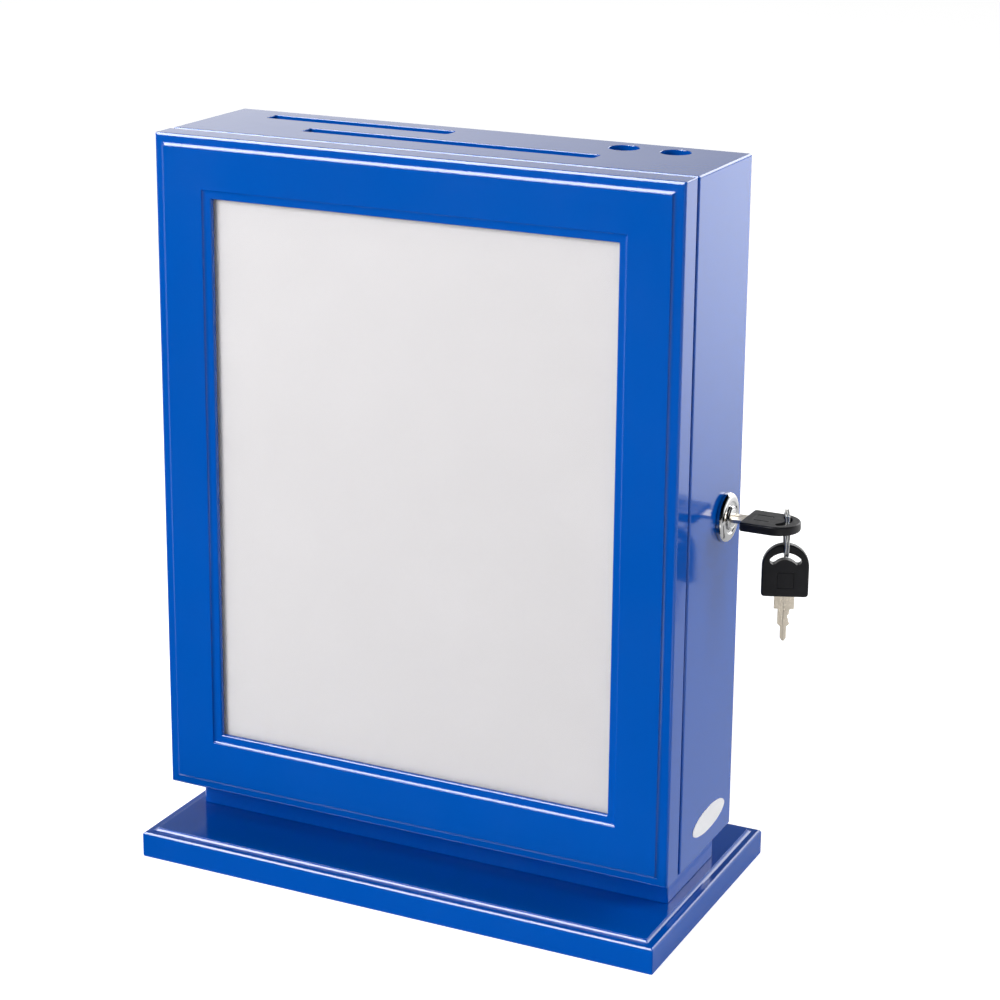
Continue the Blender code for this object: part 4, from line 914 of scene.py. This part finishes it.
# Key's blade: shoulders, cut length with its narrow tip, and the tang inside the bow
SHOULDER_LENGTH = 6.2 * MM
SHOULDER_WIDTH = 9.2 * MM
BLADE_LENGTH = 15.5 * MM
BLADE_WIDTH = 5.6 * MM
BLADE_THICKNESS = 1.6 * MM
TIP_LENGTH = 7.0 * MM
TIP_WIDTH = 2.8 * MM
TIP_SLOPE = 1.2 * MM
TIP_END_SHARE = 1 / 3
TANG_LENGTH = 9 * MM
TANG_WIDTH = 7 * MM
TANG_PLAY = 0.1 * MM
CUT_DEPTH = 1.1 * MM
CUT_SHARES = (0.35, 1.0, 0.6)
CUT_HALF_SHARE = 0.25
BLADE_GROOVE_WIDTH = 1.1 * MM
BLADE_GROOVE_DEPTH = 0.35 * MM
BLADE_GROOVE_ASIDE = 0.7 * MM

# Split ring: its wire, its winding and where the wire's ends stop short of the crossing
RING_WIRE_RADIAL = 1.5 * MM
RING_WIRE_AXIAL = 0.95 * MM
RING_PITCH = 1.15 * MM
RING_OUTER_RADIUS = 10.9 * MM
RING_END_ANGLE = math.radians(24)
RING_STEPS = 4 * TURN_STEPS
RING_CORNER_STEPS = 3


def joint(name):
    """A joint of the record by its name."""
    return next(row for row in frame["joints"] if row["name"] == name)


def lock_place():
    """A point on the lock's axis."""
    return Vector(joint("lock_turn")["pos_m"])


def lock_middle():
    """The middle of the lock's fixed shell."""
    low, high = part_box("lock_housing")
    return (low + high) / 2


def make_lock_housing():
    """The lock's fixed shell: a barrel through the side and a dished flange on its face."""
    low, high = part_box("lock_housing")
    bore = PLUG_RADIUS + PLUG_PLAY
    seat = high.x - FLANGE_HEIGHT
    rear = low.x - seat
    top = FLANGE_HEIGHT
    outer = [(bore, rear), (LOCK_BARREL_RADIUS, rear), (LOCK_BARREL_RADIUS, 0), (FLANGE_RADIUS, 0)]
    outer.append((FLANGE_RADIUS, FLANGE_RIM))
    for out, rise in arc((0, 0), 1, 0, QUARTER, FINE_STEPS)[1:]:
        radius = FLANGE_FACE_RADIUS + (FLANGE_RADIUS - FLANGE_FACE_RADIUS) * out
        outer.append((radius, FLANGE_RIM + (top - FLANGE_RIM) * rise))
    outer += [(FLANGE_DISH_RADIUS, top), (FLANGE_DISH_RADIUS - FLANGE_DISH, top - FLANGE_DISH)]
    outer.append((bore, top - FLANGE_DISH))
    profile = softened(outer, METAL_EDGE, closed=True)
    place = lock_middle()
    place.x = seat
    shape = moved(turned(profile, TURN_STEPS, ring=True), along_x(place))
    return finished(thing("lock_rosette", shape), "bright_chrome", "box", ["lock_housing"])


def make_plug():
    """The turning core: a chamfered, grooved face, the keyway, a square tail and its screw's hole."""
    low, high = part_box("lock_plug")
    face, groove = high.x, PLUG_GROOVE
    place = Vector((0, *lock_place().yz))
    rear = low.x + TAIL_LENGTH
    profile = [(0, rear), (PLUG_RADIUS, rear), (PLUG_RADIUS, face - PLUG_CHAMFER)]
    profile += [(PLUG_RADIUS - PLUG_CHAMFER, face), (PLUG_RADIUS - 3 * groove, face)]
    profile += [(PLUG_RADIUS - 4 * groove, face - groove / 2), (PLUG_RADIUS - 5 * groove, face), (0, face)]
    profile = softened(profile, METAL_EDGE)
    plug = thing("keyed_plug", moved(turned(profile, TURN_STEPS), along_x(place)))
    half = TAIL_SIZE / 2
    centred = Matrix.Translation(place)
    combined(plug, [moved(block((low.x, -half, -half), (rear + groove, half, half)), centred)], "UNION")
    thin, wide = BLADE_THICKNESS / 2 + KEY_PLAY, BLADE_WIDTH / 2 + KEY_PLAY
    keyway = block((face - KEY_DEPTH, -wide, -thin), (face + KEY_DEPTH, wide, thin))
    start, end = low.x - half, low.x + CAM_SCREW_DEPTH
    hole = [(0, start), (CAM_SCREW_HOLE, start), (CAM_SCREW_HOLE, end), (0, end)]
    combined(plug, [moved(keyway, centred), moved(turned(hole, SCREW_STEPS), along_x(place))])
    return finished(plug, "bright_chrome", "lock_core", ["lock_plug"])


def bow_outline():
    """A key's bow: straight sides, a half round end along +X and small corners at x = 0."""
    half = BOW_WIDTH / 2
    low = arc((BOW_CORNER, -half + BOW_CORNER), BOW_CORNER, 2 * QUARTER, 3 * QUARTER, EDGE_STEPS)
    end = arc((BOW_LENGTH - half, 0), half, -QUARTER, QUARTER, 3 * FINE_STEPS)
    high = arc((BOW_CORNER, half - BOW_CORNER), BOW_CORNER, QUARTER, 2 * QUARTER, EDGE_STEPS)
    return low + end + high


def bow_slot_outline():
    """The crescent slot: an arc of constant width with round ends."""
    half = BOW_SLOT_WIDTH / 2
    reach = math.asin((BOW_SLOT_SPAN / 2 - half) / BOW_SLOT_ARC)
    centre = (BOW_LENGTH - BRIDGE_WIDTH - half - BOW_SLOT_ARC, 0)
    points = arc(centre, BOW_SLOT_ARC + half, -reach, reach, 2 * FINE_STEPS)
    for side in (1, -1):
        end = (centre[0] + BOW_SLOT_ARC * math.cos(reach), side * BOW_SLOT_ARC * math.sin(reach))
        start = reach if side > 0 else math.pi - reach
        points += arc(end, half, start, start + math.pi, FINE_STEPS)[1:-1]
        if side > 0:
            points += arc(centre, BOW_SLOT_ARC - half, reach, -reach, 2 * FINE_STEPS)
    return points


def blade_outline():
    """The blade from its tang at +X, past its shoulders and its cut side, to its narrow tip at -X."""
    tang, shoulder, half, tip = TANG_WIDTH / 2, SHOULDER_WIDTH / 2, BLADE_WIDTH / 2, TIP_WIDTH / 2
    start, end = -SHOULDER_LENGTH, -SHOULDER_LENGTH - BLADE_LENGTH
    neck = end + TIP_LENGTH
    points = [(TANG_LENGTH, -tang), (TANG_LENGTH, tang), (0, tang), (0, shoulder), (start, shoulder)]
    points.append((start, half))
    step = (start - neck - TIP_SLOPE) / (len(CUT_SHARES) + 1)
    for i, depth_share in enumerate(CUT_SHARES):
        x = start - (i + 1) * step
        points.append((x + step * CUT_HALF_SHARE, half - CUT_DEPTH * depth_share))
        points.append((x - step * CUT_HALF_SHARE, half - CUT_DEPTH * depth_share))
    narrowed = [(neck + TIP_SLOPE, half), (neck, tip), (end + tip, tip), (end, tip * TIP_END_SHARE)]
    points += narrowed
    points += [(x, -y) for x, y in reversed(narrowed)]
    points += [(start, -half), (start, -shoulder), (0, -shoulder), (0, -tang)]
    return points


def bow_line_cutter(side):
    """Cuts the sunk square line into one face of a bow."""
    half = PANEL_SIZE / 2
    inner = half - PANEL_GROOVE
    bottom = side * BOW_THICKNESS / 2 - PANEL_DEPTH
    loops = []
    for reach, rise in ((half, 0), (half, 2 * PANEL_DEPTH), (inner, 2 * PANEL_DEPTH), (inner, 0)):
        outline = rounded_rectangle(reach, reach, reach * PANEL_CORNER_SHARE)
        loops.append([(PANEL_FROM_START + x, y, bottom + rise) for x, y in outline])
    return lofted(loops, ring=True)


def make_bow(prefix, matrix):
    """A key's moulded bow: a round rim, the crescent slot, and a sunk line round its bare middle."""
    shape = plate(bow_outline(), BOW_THICKNESS, -BOW_THICKNESS / 2)
    rims = [e for e in shape.edges if abs(e.verts[0].co.z - e.verts[1].co.z) < TINY]
    bmesh.ops.bevel(shape, geom=rims, offset=BOW_EDGE, segments=BOW_EDGE_STEPS, profile=0.5, affect="EDGES")
    bow = thing(f"{prefix}_moulded_bow", shape)
    wide, thin = TANG_WIDTH / 2 + TANG_PLAY, BLADE_THICKNESS / 2 + TANG_PLAY
    tang_hole = block((-wide, -wide, -thin), (TANG_LENGTH + TANG_PLAY, wide, thin))
    slot = plate(bow_slot_outline(), 2 * BOW_THICKNESS, -BOW_THICKNESS)
    combined(bow, [slot, tang_hole, bow_line_cutter(-1), bow_line_cutter(1)])
    bow.data.transform(matrix)
    softened_edges(bow, METAL_EDGE, steps=2, degrees=50)
    return finished(applied(bow), "black_plastic", prefix, [f"{prefix}_bow"])


def make_blade(prefix, matrix):
    """A key's plated blade, with its cuts and a milled groove along each face."""
    blade = thing(f"{prefix}_cut_blade", plate(blade_outline(), BLADE_THICKNESS, -BLADE_THICKNESS / 2))
    half = BLADE_GROOVE_WIDTH / 2
    cutters = []
    for side in (-1, 1):
        middle = side * BLADE_GROOVE_ASIDE
        edge = side * BLADE_THICKNESS / 2
        low = (-SHOULDER_LENGTH - 2 * BLADE_LENGTH, middle - half, edge - BLADE_GROOVE_DEPTH)
        high = (-SHOULDER_LENGTH / 2, middle + half, edge + BLADE_GROOVE_DEPTH)
        cutters.append(block(low, high))
    combined(blade, cutters)
    blade.data.transform(matrix)
    softened_edges(blade, METAL_EDGE, steps=2)
    return finished(applied(blade), "nickel", prefix, [f"{prefix}_blade"])


def key_matrix():
    """Carries a key to the lock, its length along X."""
    return Matrix.Translation((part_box("key_bow")[0].x, *lock_place().yz))


def ring_frame():
    """World matrix of the split ring: origin at its centre, X along its plane, Y up and Z along its axis."""
    row = joint("spare_key_swing")
    out = Vector(row["axis"]).normalized()
    up = Vector((0, 0, 1))
    basis = Matrix((up.cross(out), up, out)).transposed().to_4x4()
    return Matrix.Translation(row["pos_m"]) @ basis


def spare_matrix():
    """Carries the spare key under the ring: its length upwards, its width across the ring's plane."""
    across = ring_frame().col[2].to_3d()
    up = Vector((0, 0, 1))
    basis = Matrix((up, across, up.cross(across))).transposed().to_4x4()
    low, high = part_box("spare_key_bow")
    middle = (low + high) / 2
    return Matrix.Translation((middle.x, middle.y, low.z)) @ basis


def eased(share_along):
    """A share from 0 to 1 that rises softly from one end to the other."""
    return share_along * share_along * (3 - 2 * share_along)


def make_ring():
    """A flat wire wound twice, with one crossing where the first turn climbs to the second."""
    outer, wire, axial = RING_OUTER_RADIUS, RING_WIRE_RADIAL, RING_WIRE_AXIAL
    corners = rounded_rectangle(wire / 2, axial / 2, axial / 4, RING_CORNER_STEPS)
    section = [(outer - wire / 2 + r, h) for r, h in corners]
    loops = []
    start, end = RING_END_ANGLE, 2 * math.tau - RING_END_ANGLE
    for i in range(RING_STEPS + 1):
        turn = start + (end - start) * i / RING_STEPS
        along = min(1, max(0, (turn - math.tau + RING_END_ANGLE) / (2 * RING_END_ANGLE)))
        climb = RING_PITCH * (eased(along) - 1 / 2)
        loops.append([(r * math.cos(turn), r * math.sin(turn), h + climb) for r, h in section])
    ring = thing("wound_ring", moved(lofted(loops), ring_frame()))
    return finished(ring, "plated_steel", "ring", ["split_ring"])


# Label

# Size and place of the oval on the right side
LABEL_WIDTH = 40 * MM
LABEL_HEIGHT = 11.6 * MM
LABEL_THICKNESS = 0.25 * MM
LABEL_Y = 2.8 * MM
LABEL_Z = 46.2 * MM
LABEL_RIM = 0.1 * MM


def make_label():
    """A thin bare oval stuck low on the right side."""
    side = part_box("side_panel_right")[1].x
    loops = []
    for shrink, rise in ((0, 0), (0, LABEL_THICKNESS - LABEL_RIM), (LABEL_RIM, LABEL_THICKNESS)):
        a, b = LABEL_WIDTH / 2 - shrink, LABEL_HEIGHT / 2 - shrink
        turns = [math.tau * i / TURN_STEPS for i in range(TURN_STEPS)]
        loops.append([(side + rise, LABEL_Y + a * math.cos(t), LABEL_Z + b * math.sin(t)) for t in turns])
    return finished(thing("side_label", lofted(loops)), "sheet", "box", finish="label")


# Stage

WHITE = (1, 1, 1, 1)
FLOOR_REACH = 12.0
CARD_LIFT = 0.8 * MM
AIM_HEIGHT = 198.4 * MM
FLOOR_COLOUR = 0.86
FLOOR_GLOWS = {"Is Camera Ray": 0.8, "Is Transmission Ray": 0.8, "Is Glossy Ray": 0.1}

# Cards on the floor for reflections: glow, and corners as (x, y)
FLOOR_CARDS = {
    "dark_front_card": (0.0, ((-2.9, -3.0), (1.5, -3.0), (0.2, -0.0703), (-0.35, -0.0703))),
    "pale_left_card": (2.2, ((-0.145, -0.0703), (-0.145, 3.0), (-3.0, 3.0), (-2.5, 1.9))),
    "pale_right_card": (0.75, ((0.145, -0.05), (2.2, 2.4), (0.145, 2.4))),
    "pale_key_card": (2.0, ((0.22, -0.46), (0.46, -0.46), (0.46, -0.22), (0.22, -0.22))),
}

# Black flag in front of the plinth: corners as (x, y), and height
FLAG = ((-0.135, -0.058), (0.135, -0.058), (0.135, -0.0495), (-0.135, -0.0495))
FLAG_HEIGHT = 30.5 * MM

# Upright card behind the right side: middle, half width, height, glow at its foot and above, and the
# height at which the upper glow is reached
SIDE_CARD_PLACE = (0.44, 0.50)
SIDE_CARD_HALF = 0.45
SIDE_CARD_HEIGHT = 0.28
SIDE_CARD_GLOWS = (1.2, 2.6)
SIDE_CARD_RISE = 0.26

# Card high behind the right end: glow, and corners as (x, y, z)
BACK_CARD = (5.5, ((-0.15, 1.5, 0.5), (1.1, 1.5, 0.5), (1.1, 1.5, 1.4), (-0.15, 1.5, 1.4)))

# Arched card in front, to the left and above: glow, radius, angles above the front and span in X
ARCH_GLOW = 18.0
ARCH_RADIUS = 1.5
ARCH_START = math.radians(28)
ARCH_END = math.radians(108)
ARCH_LEFT = -1.2
ARCH_RIGHT = -0.1
ARCH_STEPS = 16

# Glow of the world in reflections: in front and behind, and the shares of it that are left high up and
# away from the left
WORLD_FRONT = 0.02
WORLD_BACK = 1.25
WORLD_HIGH_SHARE = 0.0
WORLD_RIGHT_SHARE = 0.6

# Parts of a direction between which the glow changes: backwards, upwards and to the right
WORLD_BEHIND_SPAN = (-0.1, 0.35)
WORLD_HIGH_SPAN = (0.28, 0.48)
WORLD_RIGHT_SPAN = (-0.52, -0.34)

# Lamps: place, width, height and setting that holds the power
LAMPS = {
    "front_lamp": ((-1.4, -3.0, 1.65), 1.8, 1.8, "key_power"),
    "top_lamp": ((-0.25, 0.55, 1.1), 1.1, 0.45, "top_power"),
    "side_lamp": ((1.3, 0.65, 0.6), 0.8, 0.8, "side_power"),
}


def maths(tree, operation, first, second):
    """The result of an operation on a node's output and another output or a number."""
    made = add_node(tree, "ShaderNodeMath", operation=operation)
    give(tree, made.inputs[0], first)
    give(tree, made.inputs[1], second)
    return made.outputs[0]


def mixed_value(tree, amount, first, second):
    """The first value where an amount is 0, and the second where it is 1."""
    made = add_node(tree, "ShaderNodeMix", data_type="FLOAT", Factor=amount, A=first, B=second)
    return made.outputs["Result"]


def emptied_tree(owner):
    """The node tree of a material or a world, with no nodes in it."""
    owner.use_nodes = True
    owner.node_tree.nodes.clear()
    return owner.node_tree


def coordinate_parts(tree, kind):
    """The X, Y and Z parts of one kind of texture coordinates."""
    whole = add_node(tree, "ShaderNodeTexCoord").outputs[kind]
    return add_node(tree, "ShaderNodeSeparateXYZ", Vector=whole).outputs


def floor_surface():
    """The floor's material: matt and pale, with a glow for each kind of ray that finds it."""
    made = bpy.data.materials.new("floor_white")
    tree = emptied_tree(made)
    rays = add_node(tree, "ShaderNodeLightPath").outputs
    glows = [maths(tree, "MULTIPLY", rays[ray], glow) for ray, glow in FLOOR_GLOWS.items()]
    most = glows[0]
    for glow in glows[1:]:
        most = maths(tree, "MAXIMUM", most, glow)
    matt = add_node(tree, "ShaderNodeBsdfDiffuse", Color=(FLOOR_COLOUR, FLOOR_COLOUR, FLOOR_COLOUR, 1))
    light = add_node(tree, "ShaderNodeEmission", Color=WHITE, Strength=most)
    both = add_node(tree, "ShaderNodeAddShader")
    give(tree, both.inputs[0], matt.outputs[0])
    give(tree, both.inputs[1], light.outputs[0])
    add_node(tree, "ShaderNodeOutputMaterial", Surface=both.outputs[0])
    return made


def glow_surface(name, low, high=None, rise=1.0):
    """A card's material: one glow, or a glow that changes from its foot to a height."""
    made = bpy.data.materials.new(name)
    tree = emptied_tree(made)
    glow = low
    if high is not None:
        glow = spread(tree, coordinate_parts(tree, "Object")["Z"], low, high, 0.0, rise)
    light = add_node(tree, "ShaderNodeEmission", Color=WHITE, Strength=glow)
    add_node(tree, "ShaderNodeOutputMaterial", Surface=light.outputs[0])
    return made


def card(name, rows, surface):
    """A thin piece of the stage through rows of points. One row is a flat card between its corners."""
    shape = bmesh.new()
    rows = [[shape.verts.new(point) for point in row] for row in rows]
    if len(rows) == 1:
        shape.faces.new(rows[0])
    for (a, b), (c, d) in zip(rows, rows[1:]):
        shape.faces.new((a, b, d, c))
    made = thing(name, shape)
    made.data.materials.append(surface)
    return made


def reflected_card(name, rows, surface):
    """A card that only reflections see."""
    made = card(name, rows, surface)
    for kind in ("camera", "diffuse", "shadow", "transmission"):
        setattr(made, f"visible_{kind}", False)


def side_card_corners():
    """Corners of the upright card behind the right side, square to the way from the object to it."""
    middle = Vector((*SIDE_CARD_PLACE, 0))
    along = Vector((-middle.y, middle.x, 0)).normalized() * SIDE_CARD_HALF
    rise = Vector((0, 0, SIDE_CARD_HEIGHT))
    return [middle - along, middle + along, middle + along + rise, middle - along + rise]


def arched_card_rows():
    """Rows of the card that is bent round the X axis, from in front to above."""
    curve = arc((0, AIM_HEIGHT), ARCH_RADIUS, 2 * QUARTER - ARCH_START, 2 * QUARTER - ARCH_END, ARCH_STEPS)
    return [[(x, y, z) for x in (ARCH_LEFT, ARCH_RIGHT)] for y, z in curve]


def make_cards():
    """The cards that the lacquer mirrors, and the black flag that keeps light off the plinth."""
    for name, (glow, corners) in FLOOR_CARDS.items():
        reflected_card(name, [[(x, y, CARD_LIFT) for x, y in corners]], glow_surface(f"{name}_glow", glow))
    flag = card("black_flag", [[(x, y, FLAG_HEIGHT) for x, y in FLAG]], glow_surface("flag_black", 0.0))
    for kind in ("camera", "glossy", "transmission"):
        setattr(flag, f"visible_{kind}", False)
    side_glow = glow_surface("side_card_glow", *SIDE_CARD_GLOWS, SIDE_CARD_RISE)
    reflected_card("pale_side_card", [side_card_corners()], side_glow)
    glow, corners = BACK_CARD
    reflected_card("pale_back_card", [corners], glow_surface("back_card_glow", glow))
    reflected_card("pale_arched_card", arched_card_rows(), glow_surface("arched_card_glow", ARCH_GLOW))


def area_lamp(name, place, width, height, watts):
    """A soft rectangular lamp at a place, facing the object's middle and unseen by reflections."""
    data = bpy.data.lights.new(name, "AREA")
    data.shape = "RECTANGLE"
    data.size = width
    data.size_y = height
    data.energy = watts
    lamp = bpy.data.objects.new(name, data)
    bpy.context.scene.collection.objects.link(lamp)
    lamp.location = place
    lamp.rotation_euler = (Vector((0, 0, AIM_HEIGHT)) - Vector(place)).to_track_quat("-Z", "Y").to_euler()
    lamp.visible_camera = False
    lamp.visible_glossy = False
    return lamp


def make_world(stage):
    """White behind the object. In reflections it is brightest low, behind and to the left; elsewhere even."""
    world = bpy.data.worlds.new("studio")
    bpy.context.scene.world = world
    tree = emptied_tree(world)
    rays = add_node(tree, "ShaderNodeLightPath").outputs
    parts = coordinate_parts(tree, "Generated")
    behind = spread(tree, parts["Y"], WORLD_FRONT, WORLD_BACK, *WORLD_BEHIND_SPAN)
    low = spread(tree, parts["Z"], 1.0, WORLD_HIGH_SHARE, *WORLD_HIGH_SPAN)
    left = spread(tree, parts["X"], 1.0, WORLD_RIGHT_SHARE, *WORLD_RIGHT_SPAN)
    mirrored = maths(tree, "MULTIPLY", behind, maths(tree, "MULTIPLY", left, low))
    seen = maths(tree, "MAXIMUM", rays["Is Camera Ray"], rays["Is Transmission Ray"])
    glow = mixed_value(tree, rays["Is Glossy Ray"], stage.fill, mirrored)
    strength = mixed_value(tree, seen, glow, 1.0)
    background = add_node(tree, "ShaderNodeBackground", Color=WHITE, Strength=strength)
    add_node(tree, "ShaderNodeOutputWorld", Surface=background.outputs[0])


def make_camera(stage):
    """The camera at the photograph's angle."""
    az, el = stage.azimuth, stage.elevation
    back = Vector((math.sin(az) * math.cos(el), -math.cos(az) * math.cos(el), math.sin(el)))
    right = (-back).cross(Vector((0, 0, 1))).normalized()
    up = right.cross(-back)
    level_right = right * math.cos(stage.roll) + up * math.sin(stage.roll)
    level_up = up * math.cos(stage.roll) - right * math.sin(stage.roll)
    target = Vector((0, 0, AIM_HEIGHT)) + level_right * stage.aim_right + level_up * stage.aim_up
    data = bpy.data.cameras.new("camera")
    data.lens = stage.lens
    data.shift_y = stage.shift
    camera = bpy.data.objects.new("camera", data)
    bpy.context.scene.collection.objects.link(camera)
    basis = Matrix((level_right, level_up, back)).transposed().to_4x4()
    camera.matrix_world = Matrix.Translation(target + back * stage.distance) @ basis
    bpy.context.scene.camera = camera


# Operators and panel


class SUGGESTION_BOX_OT_stage(bpy.types.Operator):
    """Makes the floor, the cards, the lamps, the world and the camera"""

    bl_idname = "suggestion_box.stage"
    bl_label = "Stage"

    def execute(self, context):
        stage = context.scene.suggestion_box_stage
        corners = ((-1, -1), (1, -1), (1, 1), (-1, 1))
        card("floor", [[(a * FLOOR_REACH, b * FLOOR_REACH, 0) for a, b in corners]], floor_surface())
        make_cards()
        for name, (place, width, height, setting) in LAMPS.items():
            area_lamp(name, place, width, height, getattr(stage, setting))
        make_world(stage)
        make_camera(stage)
        context.scene.view_settings.view_transform = "Standard"
        return {"FINISHED"}


class SUGGESTION_BOX_OT_base(bpy.types.Operator):
    """Makes the routed base board and the four screws from below, and finishes the plinth"""

    bl_idname = "suggestion_box.base"
    bl_label = "Base"

    def execute(self, context):
        make_base_board(context.scene.suggestion_box_moulding)
        dressed(["plinth"], "blue_lacquer", BOARD_EDGE)
        for name in BASE_SCREWS:
            make_screw(name, BASE_SCREW_OUT, "box")
        return {"FINISHED"}


class SUGGESTION_BOX_OT_box(bpy.types.Operator):
    """Makes the lacquered shell and finishes the boards inside it"""

    bl_idname = "suggestion_box.box"
    bl_label = "Box"

    def execute(self, context):
        make_shell(context.scene.suggestion_box_moulding)
        dressed(["back_panel"], "blue_lacquer", BOARD_EDGE)
        dressed(["card_shelf", "pen_shelf", "pocket_divider", "pocket_front"], "inner_lacquer", BOARD_EDGE)
        return {"FINISHED"}


class SUGGESTION_BOX_OT_door(bpy.types.Operator):
    """Makes the moulded door, its window, the sheet and the backing board"""

    bl_idname = "suggestion_box.door"
    bl_label = "Door"

    def execute(self, context):
        make_door(context.scene.suggestion_box_moulding)
        make_window(context.scene.suggestion_box_moulding)
        return {"FINISHED"}


class SUGGESTION_BOX_OT_hinges(bpy.types.Operator):
    """Finishes the hinge leaves and pins and makes their screws"""

    bl_idname = "suggestion_box.hinges"
    bl_label = "Hinges"

    def execute(self, context):
        for which in ("upper", "lower"):
            names = [f"{which}_hinge_box_leaf", f"{which}_hinge_door_leaf", f"{which}_hinge_pin"]
            dressed(names, "plated_steel", METAL_EDGE)
            for i in range(2):
                make_screw(f"{which}_box_leaf_screw_{i + 1}", (0, -1, 0), "box")
                make_screw(f"{which}_door_leaf_screw_{i + 1}", (0, 1, 0), "door")
        return {"FINISHED"}


class SUGGESTION_BOX_OT_clips(bpy.types.Operator):
    """Finishes the turn clips and the keeper on the door's back and makes their screws"""

    bl_idname = "suggestion_box.clips"
    bl_label = "Clips and keeper"

    def execute(self, context):
        dressed(CLIPS, "plated_steel", CLIP_EDGE)
        for name in CLIPS:
            make_screw(f"{name}_screw", (0, 1, 0), "door")
        dressed(["keeper_bracket", "keeper_pin"], "plated_steel", KEEPER_EDGE)
        for i in range(2):
            make_screw(f"keeper_screw_{i + 1}", (0, 1, 0), "door")
        return {"FINISHED"}


class SUGGESTION_BOX_OT_lock(bpy.types.Operator):
    """Makes the chrome lock and finishes its nut, cam and screw"""

    bl_idname = "suggestion_box.lock"
    bl_label = "Lock"

    def execute(self, context):
        make_lock_housing()
        make_plug()
        dressed(["lock_nut", "lock_cam"], "plated_steel", CLIP_EDGE)
        make_screw("cam_screw", (-1, 0, 0), "lock_core")
        return {"FINISHED"}


class SUGGESTION_BOX_OT_keys(bpy.types.Operator):
    """Makes the key in the lock, the split ring and the spare key"""

    bl_idname = "suggestion_box.keys"
    bl_label = "Keys and ring"

    def execute(self, context):
        for prefix, matrix in (("key", key_matrix()), ("spare_key", spare_matrix())):
            make_bow(prefix, matrix)
            make_blade(prefix, matrix)
        make_ring()
        return {"FINISHED"}


class SUGGESTION_BOX_OT_label(bpy.types.Operator):
    """Makes the bare oval label on the right side"""

    bl_idname = "suggestion_box.label"
    bl_label = "Side label"

    def execute(self, context):
        make_label()
        return {"FINISHED"}


OPERATORS = (
    SUGGESTION_BOX_OT_stage,
    SUGGESTION_BOX_OT_base,
    SUGGESTION_BOX_OT_box,
    SUGGESTION_BOX_OT_door,
    SUGGESTION_BOX_OT_hinges,
    SUGGESTION_BOX_OT_clips,
    SUGGESTION_BOX_OT_lock,
    SUGGESTION_BOX_OT_keys,
    SUGGESTION_BOX_OT_label,
)

SETTINGS = {
    "suggestion_box_finishes": SuggestionBoxFinishes,
    "suggestion_box_moulding": SuggestionBoxMoulding,
    "suggestion_box_stage": SuggestionBoxStage,
}


class SUGGESTION_BOX_PT_panel(bpy.types.Panel):
    """Lists the box's settings and the operators that make its pieces"""

    bl_idname = "SUGGESTION_BOX_PT_panel"
    bl_label = "Suggestion Box"
    bl_space_type = "VIEW_3D"
    bl_region_type = "UI"
    bl_category = "Suggestion Box"

    def draw(self, context):
        layout = self.layout
        for operator in OPERATORS:
            layout.operator(operator.bl_idname)
        for name, group in SETTINGS.items():
            box = layout.box()
            for setting in group.__annotations__:
                box.prop(getattr(context.scene, name), setting)


def register():
    """Adds the settings, the operators and the panel to Blender."""
    for group in (*SETTINGS.values(), *OPERATORS, SUGGESTION_BOX_PT_panel):
        bpy.utils.register_class(group)
    for name, group in SETTINGS.items():
        setattr(bpy.types.Scene, name, PointerProperty(type=group))


def unregister():
    """Takes the settings, the operators and the panel away again."""
    for name in SETTINGS:
        delattr(bpy.types.Scene, name)
    for group in reversed((*SETTINGS.values(), *OPERATORS, SUGGESTION_BOX_PT_panel)):
        bpy.utils.unregister_class(group)


def clear_extras():
    """Removes whatever the file held before the frame was loaded."""
    kept = set(frame["nodes"].values()) | set(frame["bodies"].values())
    for extra in [o for o in bpy.data.objects if o not in kept]:
        bpy.data.objects.remove(extra)


def main():
    """Makes every piece and the stage."""
    register()
    clear_extras()
    for operator in OPERATORS:
        group, name = operator.bl_idname.split(".")
        getattr(getattr(bpy.ops, group), name)()


if __name__ == "__main__":
    main()
